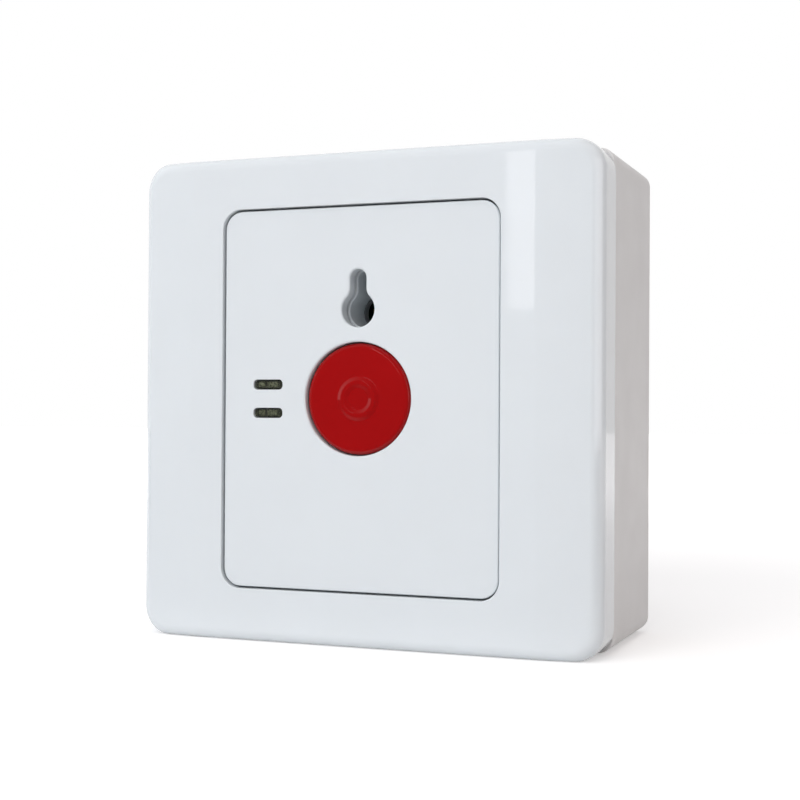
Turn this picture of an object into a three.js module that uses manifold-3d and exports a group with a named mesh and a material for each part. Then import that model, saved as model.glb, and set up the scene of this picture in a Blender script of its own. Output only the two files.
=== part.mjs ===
// Emergency call station: a red press-and-hold button with key release and two
// indicator lights, on a faceplate that closes a surface-mounted wall box.
//
// Millimetres. X runs right, Z up and Y into the wall, so the front faces -Y.
// The origin is the centre of the box's rear face, which lies on the wall.

import * as THREE from 'three';
import { mergeVertices } from 'three/addons/utils/BufferGeometryUtils.js';
import Module from 'manifold-3d';

const wasm = await Module();
wasm.setup();

// Clearances
const fitGap = 0.3; // between pieces that seat on or in each other
const buttonGap = 0.25; // around the button, in the panel and in its guide
const panelGap = 0.3; // around the centre panel, in the frame
const windowGap = 0.2; // around each indicator light, in its window
const pinGap = 0.1; // around the lever's pin
const root = 0.4; // how deep a rib, boss or leg is sunk into the wall it grows from

// Wall box
const boxSetback = 0.3; // its sides, inside the faceplate's
const wiringDepth = 8.04; // free behind the circuit board
const boxWall = 2.2;
const boxCorner = 3.5;
const boxRearEdge = 0.8;
const screwPitch = 60.3; // the two fixing screws of this size of wall device
const bossRadius = 5;
const bossRib = 3;
const cableEntry = { width: 22, height: 17, corner: 4, z: -17 };
const wallSlot = { length: 9, width: 4.6, x: 20, z: 29 };
const knockout = { width: 20, depth: 12, recess: 1.2 };

// Faceplate frame
const frameSize = 86;
const frameCorner = 5;
const frameEdge = 2.2; // radius of the rounded front edge
const frameSkirt = 10; // height of its sides
const frameWall = 1.9;
const frameFront = 2.2; // thickness of its front
const frameFall = 1.5; // how far the front drops back at its left and right edges
const frameLip = 0.35; // radius of the edge round the opening
const clipLength = 12;
const clipHeight = 0.8;
const clipReach = 0.7;

// Centre panel
const panelWidth = 51.2;
const panelHeight = 66.6;
const panelCorner = 3.2;
const panelThick = 2.6;
const panelRecess = 0.6; // below the frame's front
const panelEdge = 0.3; // chamfer round it
const holeFlare = 0.45; // rounded mouth of the button's hole
const panelBoss = { radius: 3, insetX: 5, insetZ: 4.5 }; // insets from the base plate's edges
const panelHook = { width: 6, thick: 1.2, reach: 0.9, z: 18 };

// Button and its plunger
const capRadius = 9.5;
const capHeight = 6;
const capWall = 1.5;
const capEdge = 0.9; // radius of its rim
const capRecess = 0.5; // its face, below the panel's front
const ringOuter = 3.7; // raised ring on its face
const ringInner = 2.2;
const ringHeight = 0.35;
const travel = 3.5;
const stemRadius = 3;
const stemSocketWall = 1.2;
const catchReach = 0.7; // how far the stem's catch stands out
const catchThick = 0.8;
const footCone = 2.5;
const footRadius = 1.2;
const springRadius = 5.2; // mean radius of the return spring
const springWire = 0.7;
const springTurns = 4;

// Mechanism housing
const tubeWall = 1.3;
const capFloorGap = 0.5; // left under the cap when it is pressed home
const basePlate = { corner: 2, thick: 1.6 };
const basePlateGap = 0.4; // to the panel's snap legs
const postRadius = 2.8;
const postInset = 3.5; // from the board's edges
const collarHeight = 1.2;
const collarWall = 0.9;

// Keyhole and the guide behind it
const keyBulb = 3.05; // radius of the round part
const keyNeck = 1.52; // half the width of the slot
const keyFillet = 2.1;
const keyTop = 22.44;
const keyCentre = 15.45;
const guideInset = 0.1; // the guide's hole is this much smaller all round
const guideGap = 0.9; // from the panel's rear to the guide
const guideWidth = 10;
const guideTop = 24.2;
const guideCorner = 2.5;

// Latch that holds the button down until a key lifts it
const latchWidth = 10;
const latchThick = 0.8;
const latchTravel = 1.5;
const latchFoot = -9;
const latchTop = 24.6;
const latchWindowEdge = 1.5; // metal left beside the key's window
const railWidth = 1.2;
const railLength = 2.4;
const railHook = 0.9;
const railZ = [-8, 9.6];
const latchSpringRadius = 1.5;
const latchSpringWire = 0.35;
const latchSpringTurns = 3;
const latchSpringLength = 3.1;
const springStopThick = 1.2;

// Micro switch with a hinged lever
const switchLength = 12.8;
const switchWidth = 5.8;
const switchHeight = 6.5;
const leverArm = 11.5; // from its pin to the stem's axis
const leverLength = 15;
const leverWidth = 3.2;
const leverThick = 0.4;
const leverRest = 22; // degrees up from the switch when the button is out
const barrelRadius = 0.8;
const pinRadius = 0.3;
const earThick = 0.6;
const pinOverhang = 1.1; // body past the lever's pin
const plungerArm = 4;
const plungerRadius = 0.6;
const plungerProud = 1.9; // above the switch's body when the button is out
const terminalWidth = 0.9;
const terminalThick = 0.5;
const terminalInset = 1.5;
const switchTerminals = [-11.2, -6.2, -1.2];

// Indicator lights
const lightX = -17.1;
const lightZ = 2.5;
const windowWidth = 5.65;
const windowHeight = 1.75;
const windowCorner = 0.6;
const lightRecess = 0.25;
const lightLength = 5.2;
const lightFlange = 0.4;
const lightFlangeThick = 1;
const lightLegPitch = 2.54;
const legSize = 0.5;
const lightBoss = { width: 8, height: 9.4, depth: 2.8 };

// Circuit board and what it carries
const board = { corner: 1.5, thick: 1.6 };
const boardScrewGap = 0.8; // its upper and lower edges, from the heads of the screws into the panel
const boardSetback = 0.5; // its sides, inside the base plate's
const legTail = 1; // solder side length of each leg
const resistor = { length: 6, radius: 1.1, pitch: 10, x: 9.5, z: [-9, -13.5] };
const blockPitch = 5;
const blockPoles = 4;
const blockEnd = 0.4; // extra plastic at each end of the block
const blockDepth = 8;
const blockHeight = 6.8;
const blockInset = 5; // from the board's upper edge to its middle
const blockFloor = 1;
const cageWidth = 3.2;
const cageHeight = 3.1;
const cageLength = 4.2;
const cageWall = 0.6;
const blockScrew = { head: 1.7, headThick: 0.9, shank: 0.9 };

// Screws and inserts
const smallScrew = { head: 2.2, headThick: 1.5, shank: 1.1, length: 7.5 };
const boardScrew = { head: 2.2, headThick: 1.5, shank: 1.1, length: 6.5 };
const mainScrew = { head: 3.8, headThick: 2.4, shank: 1.9, length: 16 };
const insertRadius = 3.4;
const insertLength = 8;

// Mounting yoke
const yokeThick = 2.2;
const yokeEdgeGap = 0.4; // to the frame's inside
const yokeRim = 1.2; // thickness of its upstand
const yokeRimHeight = 3.4;
const ringWall = 1.6;
const ringInset = 1.6; // how far the panel overhangs the ring that carries it
const yokeSlot = { length: 7.5, width: 4.6 };

// Widths that follow from the sizes above
const boxSize = frameSize - 2 * boxSetback;
const hookOuter = panelWidth / 2 - ringInset - ringWall - fitGap;
const baseHalf = hookOuter - panelHook.thick - basePlateGap;
const baseTop = latchTop + latchSpringLength + 2 * fitGap + springStopThick;
const boardWidth = 2 * (baseHalf - boardSetback);
const boardHalf = baseTop - panelBoss.insetZ - smallScrew.head - boardScrewGap;
const postX = boardWidth / 2 - postInset;
const postZ = boardHalf - postInset;
const blockZ = boardHalf - blockInset;

// Depths that follow from the sizes above, measured back from the frame's front
const leverSlope = THREE.MathUtils.degToRad(leverRest);
const leverRise = leverArm * Math.tan(leverSlope) + leverThick / 2 / Math.cos(leverSlope);
const capDepth = panelRecess + capRecess + capHeight;
const latchDepth = capDepth + capFloorGap + basePlate.thick + latchThick + 2 * fitGap;
const footDepth = latchDepth + catchThick + footCone + footRadius;
const switchDepth = footDepth + leverRise + barrelRadius + 2 * fitGap;
const boardDepth = switchDepth + switchHeight + board.thick + fitGap;
const overallDepth = boardDepth + wiringDepth + boxWall;
const boxDepth = overallDepth - frameSkirt - 2 * fitGap;

// Places along Y, from the front to the wall
const frameRear = -(boxDepth + fitGap);
const frameTop = frameRear - frameSkirt - fitGap;
const panelFront = frameTop + panelRecess;
const panelRear = panelFront + panelThick;
const yokeRear = -(boxDepth + fitGap);
const yokeTop = yokeRear - yokeThick;
const capFront = panelFront + capRecess;
const capRear = capFront + capHeight;
const capCeiling = capFront + capWall;
const baseFront = capRear + travel + capFloorGap;
const baseRear = baseFront + basePlate.thick;
const latchFront = baseRear + fitGap;
const latchRear = latchFront + latchThick;
const catchFront = latchRear + fitGap - travel;
const coneFront = catchFront + catchThick;
const domeFront = coneFront + footCone;
const footTip = domeFront + footRadius;
const hingeX = -leverArm;
const hingeY = footTip + fitGap + leverRise;
const switchFront = hingeY + barrelRadius + fitGap;
const switchRear = switchFront + switchHeight;
const boardFront = switchRear + fitGap;
const boardRear = boardFront + board.thick;
const blockFront = boardRear + fitGap;
const blockRear = blockFront + blockHeight;
const tubeBore = capRadius + buttonGap;
const tubeRadius = tubeBore + tubeWall;
const guideFront = panelRear + guideGap;
const guideBottom = tubeRadius + fitGap;
const panelHole = capRadius + buttonGap;
const frameInner = frameSize / 2 - frameWall;
const rimOuter = frameInner - yokeEdgeGap;
const bossX = screwPitch / 2;
const latchMiddle = (latchFront + latchRear) / 2;

// Materials
const finish = {
  white: { color: 0xe3e8ea, roughness: 0.25, metalness: 0 },
  boxWhite: { color: 0xdedddb, roughness: 0.55, metalness: 0 },
  red: { color: 0xb41a20, roughness: 0.22, metalness: 0 },
  black: { color: 0x1b1c1e, roughness: 0.5, metalness: 0 },
  grey: { color: 0x8e9193, roughness: 0.5, metalness: 0 },
  clear: { color: 0x4a4f40, roughness: 0.1, metalness: 0 },
  green: { color: 0x1e6b43, roughness: 0.4, metalness: 0 },
  tan: { color: 0xc9a878, roughness: 0.5, metalness: 0 },
  blue: { color: 0x2f7fae, roughness: 0.5, metalness: 0 },
  steel: { color: 0xb5b8bb, roughness: 0.3, metalness: 1 },
  brass: { color: 0xc2a24e, roughness: 0.35, metalness: 1 },
};

// Shapes drawn in the X-Z plane
function roundedRect(width, height, radius, x = 0, z = 0) {
  const right = x + width / 2 - radius;
  const left = x - width / 2 + radius;
  const top = z + height / 2 - radius;
  const bottom = z - height / 2 + radius;
  const shape = new THREE.Shape();
  shape.absarc(right, top, radius, 0, Math.PI / 2);
  shape.absarc(left, top, radius, Math.PI / 2, Math.PI);
  shape.absarc(left, bottom, radius, Math.PI, Math.PI * 1.5);
  shape.absarc(right, bottom, radius, Math.PI * 1.5, Math.PI * 2);
  return shape;
}

function keyholeShape(inset) {
  const bulb = keyBulb - inset;
  const neck = keyNeck - inset;
  const fillet = keyFillet + inset;
  const side = neck + fillet;
  const rise = Math.sqrt((bulb + fillet) ** 2 - side ** 2);
  const turn = Math.atan2(rise, side);
  const shape = new THREE.Shape();
  shape.absarc(0, keyTop - keyNeck, neck, 0, Math.PI);
  shape.absarc(-side, keyCentre + rise, fillet, 0, -turn, true);
  shape.absarc(0, keyCentre, bulb, Math.PI - turn, Math.PI * 2 + turn);
  shape.absarc(side, keyCentre + rise, fillet, Math.PI + turn, Math.PI, true);
  return shape;
}

// Solids
function toSolid(geometry) {
  const bare = geometry.clone();
  bare.deleteAttribute('normal');
  bare.deleteAttribute('uv');
  const merged = mergeVertices(bare);
  const mesh = new wasm.Mesh({
    numProp: 3,
    vertProperties: new Float32Array(merged.attributes.position.array),
    triVerts: new Uint32Array(merged.index.array),
  });
  return new wasm.Manifold(mesh);
}

function toGeometry(solid) {
  const mesh = solid.getMesh();
  const geometry = new THREE.BufferGeometry();
  geometry.setAttribute('position', new THREE.BufferAttribute(mesh.vertProperties, 3));
  geometry.setIndex(new THREE.BufferAttribute(mesh.triVerts, 1));
  return geometry;
}

// A shape of the X-Z plane, drawn out along Y
function slab(shape, front, rear, curveSegments = 3) {
  const geometry = new THREE.ExtrudeGeometry(shape, {
    depth: rear - front,
    bevelEnabled: false,
    curveSegments,
  });
  geometry.rotateX(Math.PI / 2);
  geometry.translate(0, rear, 0);
  return toSolid(geometry);
}

function block(x0, x1, y0, y1, z0, z1) {
  const geometry = new THREE.BoxGeometry(x1 - x0, y1 - y0, z1 - z0);
  geometry.translate((x0 + x1) / 2, (y0 + y1) / 2, (z0 + z1) / 2);
  return toSolid(geometry);
}

function ordered(a, b) {
  return [Math.min(a, b), Math.max(a, b)];
}

// A block centred on a point of the X-Z plane
function post(x, z, width, height, front, rear) {
  return block(x - width / 2, x + width / 2, front, rear, z - height / 2, z + height / 2);
}

// A profile of [radius, y] pairs, from rear to front, turned about a line along Y
function turned(profile, x = 0, z = 0, segments = 16) {
  const points = profile.map(([radius, y]) => new THREE.Vector2(radius, y));
  const geometry = new THREE.LatheGeometry(points, segments);
  geometry.translate(x, 0, z);
  return toSolid(geometry);
}

function rod(radius, x, z, front, rear, segments = 16) {
  return turned([[0, front], [radius, front], [radius, rear], [0, rear]], x, z, segments);
}

// Rounding of a turned edge, as [radius, y] pairs
function arcPoints(centreRadius, centreY, radius, from, to, steps = 4) {
  const points = [];
  for (let i = 0; i <= steps; i += 1) {
    const angle = from + ((to - from) * i) / steps;
    points.push([centreRadius + radius * Math.cos(angle), centreY + radius * Math.sin(angle)]);
  }
  return points;
}

// Points of one rounded rectangle, counter-clockwise as seen from the front
function loopPoints({ halfWidth, halfHeight, corner, depthAt }, sideSteps, cornerSteps) {
  const points = [];
  const centres = [
    [halfWidth - corner, halfHeight - corner],
    [corner - halfWidth, halfHeight - corner],
    [corner - halfWidth, corner - halfHeight],
    [halfWidth - corner, corner - halfHeight],
  ];
  centres.forEach(([cx, cz], i) => {
    const start = (i * Math.PI) / 2;
    for (let k = 0; k <= cornerSteps; k += 1) {
      const angle = start + (k / cornerSteps) * (Math.PI / 2);
      points.push([cx + corner * Math.cos(angle), cz + corner * Math.sin(angle)]);
    }
    const [nx, nz] = centres[(i + 1) % 4];
    const end = start + Math.PI / 2;
    const from = points[points.length - 1];
    const to = [nx + corner * Math.cos(end), nz + corner * Math.sin(end)];
    for (let k = 1; k < sideSteps; k += 1) {
      const share = k / sideSteps;
      points.push([from[0] + (to[0] - from[0]) * share, from[1] + (to[1] - from[1]) * share]);
    }
  });
  return points.map(([x, z]) => [x, depthAt(x), z]);
}

// Skin over loops that follow each other from the rear to the front. An open
// skin gets flat caps; a closed one joins its last loop to its first.
function loft(loops, closed, sideSteps = 1, cornerSteps = 5) {
  const rows = loops.map((loop) => loopPoints(loop, sideSteps, cornerSteps));
  const count = rows[0].length;
  const positions = rows.flat(2);
  const index = [];
  const last = closed ? rows.length : rows.length - 1;
  for (let row = 0; row < last; row += 1) {
    const here = row * count;
    const next = ((row + 1) % rows.length) * count;
    for (let i = 0; i < count; i += 1) {
      const j = (i + 1) % count;
      index.push(here + i, here + j, next + j, here + i, next + j, next + i);
    }
  }
  if (!closed) {
    const top = (rows.length - 1) * count;
    for (let i = 1; i < count - 1; i += 1) {
      index.push(0, i + 1, i, top, top + i, top + i + 1);
    }
  }
  const geometry = new THREE.BufferGeometry();
  geometry.setAttribute('position', new THREE.Float32BufferAttribute(positions, 3));
  geometry.setIndex(index);
  return toSolid(geometry);
}

// A coil of round wire along Y, from one end to the other
function coil(radius, wire, turns, front, rear) {
  const steps = turns * 12;
  const start = front + wire / 2;
  const end = rear - wire / 2;
  const points = [];
  for (let i = 0; i <= steps; i += 1) {
    const share = i / steps;
    const angle = share * turns * Math.PI * 2;
    const y = start + (end - start) * share;
    points.push(new THREE.Vector3(radius * Math.cos(angle), y, radius * Math.sin(angle)));
  }
  const section = new THREE.Shape();
  section.absarc(0, 0, wire / 2, 0, Math.PI * 2);
  return new THREE.ExtrudeGeometry(section, {
    steps,
    curveSegments: 3,
    bevelEnabled: false,
    extrudePath: new THREE.CatmullRomCurve3(points),
  });
}

// A pan-head screw with a cross recess. Its head bears at y = 0 and its shank
// runs to -length, so it points towards -Y.
function screwSolid({ head, headThick, shank, length }) {
  const dome = headThick * 0.35;
  const body = turned([
    [0, -length],
    [shank, -length + shank],
    [shank, 0],
    [head, 0],
    [head, headThick - dome],
    [head * 0.7, headThick],
    [0, headThick],
  ], 0, 0, 12);
  const arm = head * 0.62;
  const slot = head * 0.13;
  const floor = headThick * 0.45;
  const cross = block(-arm, arm, floor, headThick * 2, -slot, slot)
    .add(block(-slot, slot, floor, headThick * 2, -arm, arm));
  return body.subtract(cross);
}

const station = new THREE.Group();

function addMesh(name, geometry, look, parent = station) {
  const mesh = new THREE.Mesh(geometry, new THREE.MeshStandardMaterial(look));
  mesh.name = name;
  parent.add(mesh);
  return mesh;
}

function addSolid(name, solid, look, parent = station) {
  return addMesh(name, toGeometry(solid), look, parent);
}

// Corners of a rectangle about the centre, anticlockwise from the upper right
function fourCorners(x, z) {
  return [[x, z], [-x, z], [-x, -z], [x, -z]];
}

const panelBosses = fourCorners(baseHalf - panelBoss.insetX, baseTop - panelBoss.insetZ);
const boardPosts = fourCorners(postX, postZ);
const lights = [['led_upper', lightZ], ['led_lower', -lightZ]];
const poles = Array.from({ length: blockPoles }, (_, i) => (i - (blockPoles - 1) / 2) * blockPitch);
const sides = [['left', -1], ['right', 1]];

// The frame's front falls back towards its left and right edges
function frameSurface(offset) {
  const start = panelWidth / 2 + panelGap;
  const reach = frameSize / 2 - start;
  return (x) => {
    const out = Math.max(0, Math.abs(x) - start) / reach;
    return frameTop + offset + frameFall * out * out;
  };
}

function frontFrame() {
  const half = frameSize / 2;
  const openX = panelWidth / 2 + panelGap;
  const openZ = panelHeight / 2 + panelGap;
  const openCorner = panelCorner + panelGap;
  const flat = (y) => () => y;
  // A loop part of the way from the outer edge (0) to the opening (1)
  const between = (share, inset, depthAt) => ({
    halfWidth: half - inset + (openX - half + inset) * share,
    halfHeight: half - inset + (openZ - half + inset) * share,
    corner: frameCorner - inset * 0.6 + (openCorner - frameCorner + inset * 0.6) * share,
    depthAt,
  });
  const loops = [between(0, 0, flat(frameRear))];
  for (let i = 0; i <= 4; i += 1) {
    const angle = (i / 4) * (Math.PI / 2);
    const inset = frameEdge * (1 - Math.cos(angle));
    loops.push(between(0, inset, frameSurface(frameEdge * (1 - Math.sin(angle)))));
  }
  [0.25, 0.5, 0.75].forEach((share) => loops.push(between(share, frameEdge, frameSurface(0))));
  const lip = (widen, y) => ({
    halfWidth: openX + widen,
    halfHeight: openZ + widen,
    corner: openCorner + widen,
    depthAt: flat(y),
  });
  loops.push(lip(frameLip, frameTop));
  loops.push(lip(frameLip * 0.3, frameTop + frameLip * 0.3));
  loops.push(lip(0, frameTop + frameLip));
  loops.push(lip(0, frameTop + frameFront));
  [0.66, 0.33].forEach((share) => loops.push(between(share, frameWall, frameSurface(frameFront))));
  loops.push(between(0, frameWall, frameSurface(frameFront + frameEdge / 2)));
  loops.push(between(0, frameWall, flat(frameRear)));
  let frame = loft(loops, true, 6, 5);
  // Snap ridges inside the four sides, which hook behind the yoke's rim
  const ridgeFront = yokeTop - yokeRimHeight + clipHeight + fitGap;
  const ridge = half - frameWall / 2;
  const inner = frameInner - clipReach;
  const long = clipLength / 2;
  [
    [inner, ridge, -long, long],
    [-ridge, -inner, -long, long],
    [-long, long, inner, ridge],
    [-long, long, -ridge, -inner],
  ].forEach(([x0, x1, z0, z1]) => {
    frame = frame.add(block(x0, x1, ridgeFront, ridgeFront + clipHeight, z0, z1));
  });
  return frame;
}

function centrePanel() {
  const edge = (inset, y) => ({
    halfWidth: panelWidth / 2 - inset,
    halfHeight: panelHeight / 2 - inset,
    corner: panelCorner - inset,
    depthAt: () => y,
  });
  let panel = loft([
    edge(0, panelRear),
    edge(0, panelFront + panelEdge),
    edge(panelEdge * 0.3, panelFront + panelEdge * 0.3),
    edge(panelEdge, panelFront),
  ], false);
  panel = panel.add(slab(
    roundedRect(lightBoss.width, lightBoss.height, windowCorner, lightX, 0),
    panelRear - root,
    panelRear + lightBoss.depth,
    2,
  ));
  const bossEnd = baseFront - fitGap;
  panelBosses.forEach(([x, z]) => {
    panel = panel.add(rod(panelBoss.radius, x, z, panelRear - root, bossEnd, 12));
    const floor = baseRear - smallScrew.length - fitGap;
    panel = panel.subtract(rod(smallScrew.shank + fitGap, x, z, floor, bossEnd + 1, 12));
  });
  // Snap legs that reach through the yoke and hook behind it
  const legRear = yokeRear + fitGap + panelHook.thick;
  fourCorners(1, panelHook.z).forEach(([sign, z]) => {
    const inside = sign * (hookOuter - panelHook.thick);
    const outside = sign * hookOuter;
    const nose = sign * (hookOuter + fitGap + panelHook.reach);
    const z0 = z - panelHook.width / 2;
    const z1 = z + panelHook.width / 2;
    const hookFront = legRear - panelHook.thick;
    panel = panel.add(block(...ordered(inside, outside), panelRear - root, legRear, z0, z1));
    panel = panel.add(block(...ordered(inside, nose), hookFront, legRear, z0, z1));
  });
  panel = panel.subtract(turned([
    [0, panelFront - 1],
    [panelHole + holeFlare, panelFront - 1],
    [panelHole + holeFlare, panelFront],
    [panelHole + holeFlare * 0.3, panelFront + holeFlare * 0.3],
    [panelHole, panelFront + holeFlare],
    [panelHole, panelRear + 1],
    [0, panelRear + 1],
  ], 0, 0, 40));
  panel = panel.subtract(slab(keyholeShape(0), panelFront - 1, panelRear + 1, 8));
  lights.forEach(([, z]) => {
    const hole = roundedRect(windowWidth, windowHeight, windowCorner, lightX, z);
    panel = panel.subtract(slab(hole, panelFront - 1, panelRear + lightBoss.depth + 1, 2));
  });
  return panel;
}

function keyGuide() {
  const middle = (guideTop + guideBottom) / 2;
  const outline = roundedRect(guideWidth, guideTop - guideBottom, guideCorner, 0, middle);
  outline.holes.push(keyholeShape(guideInset));
  return slab(outline, guideFront, baseFront - fitGap, 8);
}

function pushButton() {
  const inside = capRadius - capWall;
  const socket = stemRadius + fitGap;
  const socketOuter = socket + stemSocketWall;
  const socketDepth = (capRear - capCeiling) / 2;
  const ridge = (ringOuter - ringInner) / 4;
  const face = capFront + ringHeight;
  return turned([
    [0, capCeiling],
    [socket, capCeiling],
    [socket, capCeiling + socketDepth],
    [socketOuter, capCeiling + socketDepth],
    [socketOuter, capCeiling],
    [inside, capCeiling],
    [inside, capRear],
    [capRadius, capRear],
    ...arcPoints(capRadius - capEdge, face + capEdge, capEdge, 0, -Math.PI / 2),
    [ringOuter, face],
    [ringOuter - ridge, capFront],
    [ringInner + ridge, capFront],
    [ringInner, face],
    [0, face],
  ].reverse(), 0, 0, 40);
}

function buttonStem() {
  const catchRadius = stemRadius + catchReach;
  const dome = arcPoints(0, domeFront, footRadius, Math.PI / 2, 0, 3);
  return turned([
    ...dome.slice(0, -1),
    [footRadius, domeFront],
    [catchRadius, coneFront],
    [catchRadius, catchFront],
    [stemRadius, catchFront],
    [stemRadius, capCeiling + fitGap],
    [0, capCeiling + fitGap],
  ].reverse());
}

function switchHousing() {
  const bore = stemRadius + catchReach + fitGap;
  const plate = roundedRect(2 * baseHalf, 2 * baseTop, basePlate.corner);
  let housing = slab(plate, baseFront, baseRear, 2);
  housing = housing.add(rod(tubeRadius, 0, 0, panelRear + fitGap, baseRear, 32));
  housing = housing.subtract(rod(tubeBore, 0, 0, panelRear - 1, baseFront, 32));
  housing = housing.subtract(rod(bore, 0, 0, baseFront - 1, baseRear + 1));
  // Collar that the key guide's foot stands in
  const middle = (guideTop + guideBottom) / 2;
  const height = guideTop - guideBottom;
  const slack = 2 * fitGap;
  const seat = roundedRect(guideWidth + slack, height + slack, guideCorner + fitGap, 0, middle);
  const grow = 2 * (fitGap + collarWall);
  const collar = roundedRect(guideWidth + grow, height + grow, guideCorner + grow / 2, 0, middle);
  const wall = slab(collar, baseFront - collarHeight, baseFront + root)
    .subtract(slab(seat, capFront, baseFront))
    .subtract(rod(tubeBore, 0, 0, capFront, baseFront, 32));
  housing = housing.add(wall);
  housing = housing.subtract(slab(keyholeShape(guideInset), baseFront - 1, baseRear + 1, 8));
  // Posts for the circuit board and holes for the screws into the panel
  boardPosts.forEach(([x, z]) => {
    housing = housing.add(rod(postRadius, x, z, baseRear - root, boardFront - fitGap, 12));
    const floor = boardRear - boardScrew.length - fitGap;
    housing = housing.subtract(rod(boardScrew.shank + fitGap, x, z, floor, boardFront, 12));
  });
  panelBosses.forEach(([x, z]) => {
    housing = housing.subtract(rod(smallScrew.shank + fitGap, x, z, baseFront - 1, baseRear + 1, 12));
  });
  // Window for the lights' legs
  const legReach = lightLegPitch / 2 + legSize + fitGap;
  const legHeight = lightZ + legSize + fitGap;
  housing = housing.subtract(post(lightX, 0, 2 * legReach, 2 * legHeight, baseFront - 1, baseRear + 1));
  // Hooked rails that keep the latch against the plate
  const railInner = latchWidth / 2 + fitGap;
  const hookFront = latchRear + fitGap;
  railZ.forEach((z) => {
    [-1, 1].forEach((sign) => {
      const x = sign * (railInner + railWidth / 2);
      const hookRear = hookFront + latchThick;
      housing = housing.add(post(x, z, railWidth, railLength, baseRear - root, hookRear));
      const hookX = sign * (railInner + (railWidth - railHook) / 2);
      housing = housing.add(post(hookX, z, railWidth + railHook, railLength, hookFront, hookRear));
    });
  });
  // Stop that backs the latch's spring, and the slot that the spring lies in
  const stopZ = latchTop + latchSpringLength + 2 * fitGap + springStopThick / 2;
  const stopRear = latchMiddle + latchSpringRadius;
  housing = housing.add(post(0, stopZ, latchWidth / 2, springStopThick, baseRear - root, stopRear));
  const slotWidth = 2 * (latchSpringRadius + latchSpringWire + fitGap);
  const slotHeight = latchSpringLength + 2 * fitGap;
  const slotZ = latchTop + slotHeight / 2;
  return housing.subtract(post(0, slotZ, slotWidth, slotHeight, baseFront - 1, baseRear + 1));
}

function latchSlide() {
  const reach = stemRadius + catchReach + fitGap;
  const plate = block(-latchWidth / 2, latchWidth / 2, latchFront, latchRear, latchFoot, latchTop);
  const through = [latchFront - 1, latchRear + 1];
  const slot = block(-reach, reach, ...through, -reach - latchTravel, reach);
  const edge = latchWidth / 2 - latchWindowEdge;
  const window = block(-edge, edge, ...through, keyCentre - keyBulb - fitGap, latchTop - latchWindowEdge);
  return plate.subtract(slot).subtract(window);
}

function microSwitch() {
  const left = hingeX - pinOverhang;
  const half = switchWidth / 2;
  let body = block(left, left + switchLength, switchFront, switchRear, -half, half);
  const earInner = leverWidth / 2 + fitGap;
  [-1, 1].forEach((sign) => {
    const z = sign * (earInner + earThick / 2);
    body = body.add(post(hingeX, z, 2 * barrelRadius, earThick, hingeY - barrelRadius, switchFront + root));
  });
  body = body.subtract(crossPin(pinRadius + pinGap, switchWidth + 2));
  const well = plungerRadius + fitGap;
  const wellFloor = switchFront + switchHeight / 2;
  body = body.subtract(rod(well, hingeX + plungerArm, 0, switchFront - 1, wellFloor, 12));
  switchTerminals.forEach((x) => {
    const width = terminalWidth + 2 * fitGap;
    const depth = terminalThick + 2 * fitGap;
    body = body.subtract(post(x, 0, width, depth, switchRear - terminalInset - fitGap, switchRear + 1));
  });
  return body;
}

// A rod across the lever's hinge, along Z
function crossPin(radius, length) {
  const geometry = new THREE.CylinderGeometry(radius, radius, length, 12);
  geometry.rotateX(Math.PI / 2);
  geometry.translate(hingeX, hingeY, 0);
  return toSolid(geometry);
}

// The lever about its own hinge, along X, before it is tilted
function switchLever() {
  const strip = block(0, leverLength, -leverThick / 2, leverThick / 2, -leverWidth / 2, leverWidth / 2);
  const barrel = new THREE.CylinderGeometry(barrelRadius, barrelRadius, leverWidth, 12);
  barrel.rotateX(Math.PI / 2);
  const bore = new THREE.CylinderGeometry(pinRadius + pinGap, pinRadius + pinGap, leverWidth + 1, 12);
  bore.rotateX(Math.PI / 2);
  return strip.add(toSolid(barrel)).subtract(toSolid(bore));
}

function switchPlunger() {
  const x = hingeX + plungerArm;
  const tail = switchHeight / 2 - travel / 2;
  return rod(plungerRadius, x, 0, switchFront - plungerProud, switchFront + tail - fitGap, 12);
}

function indicatorLight(z) {
  const front = panelFront + lightRecess;
  const flangeFront = front + lightLength;
  const width = windowWidth - 2 * windowGap;
  const height = windowHeight - 2 * windowGap;
  const corner = windowCorner - windowGap;
  let light = slab(roundedRect(width, height, corner, lightX, z), front, flangeFront + root, 2);
  const grow = 2 * lightFlange;
  const flangeRear = flangeFront + lightFlangeThick;
  const flange = roundedRect(width + grow, height + grow, corner, lightX, z);
  light = light.add(slab(flange, flangeFront, flangeRear, 2));
  [-1, 1].forEach((sign) => {
    const x = lightX + (sign * lightLegPitch) / 2;
    light = light.add(post(x, z, legSize, legSize, flangeRear - root, boardRear + legTail));
  });
  return light;
}

function circuitBoard() {
  let plate = slab(roundedRect(boardWidth, 2 * boardHalf, board.corner), boardFront, boardRear, 2);
  const drill = (x, z, width, height) => {
    const grow = 2 * fitGap;
    plate = plate.subtract(post(x, z, width + grow, height + grow, boardFront - 1, boardRear + 1));
  };
  lights.forEach(([, z]) => {
    [-1, 1].forEach((sign) => drill(lightX + (sign * lightLegPitch) / 2, z, legSize, legSize));
  });
  switchTerminals.forEach((x) => drill(x, 0, terminalWidth, terminalThick));
  resistor.z.forEach((z) => {
    [-1, 1].forEach((sign) => drill(resistor.x + (sign * resistor.pitch) / 2, z, legSize, legSize));
  });
  poles.forEach((x) => drill(x, blockZ, legSize * 2, legSize * 2));
  boardPosts.forEach(([x, z]) => {
    plate = plate.subtract(rod(boardScrew.shank + fitGap, x, z, boardFront - 1, boardRear + 1, 12));
  });
  return plate;
}

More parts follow.
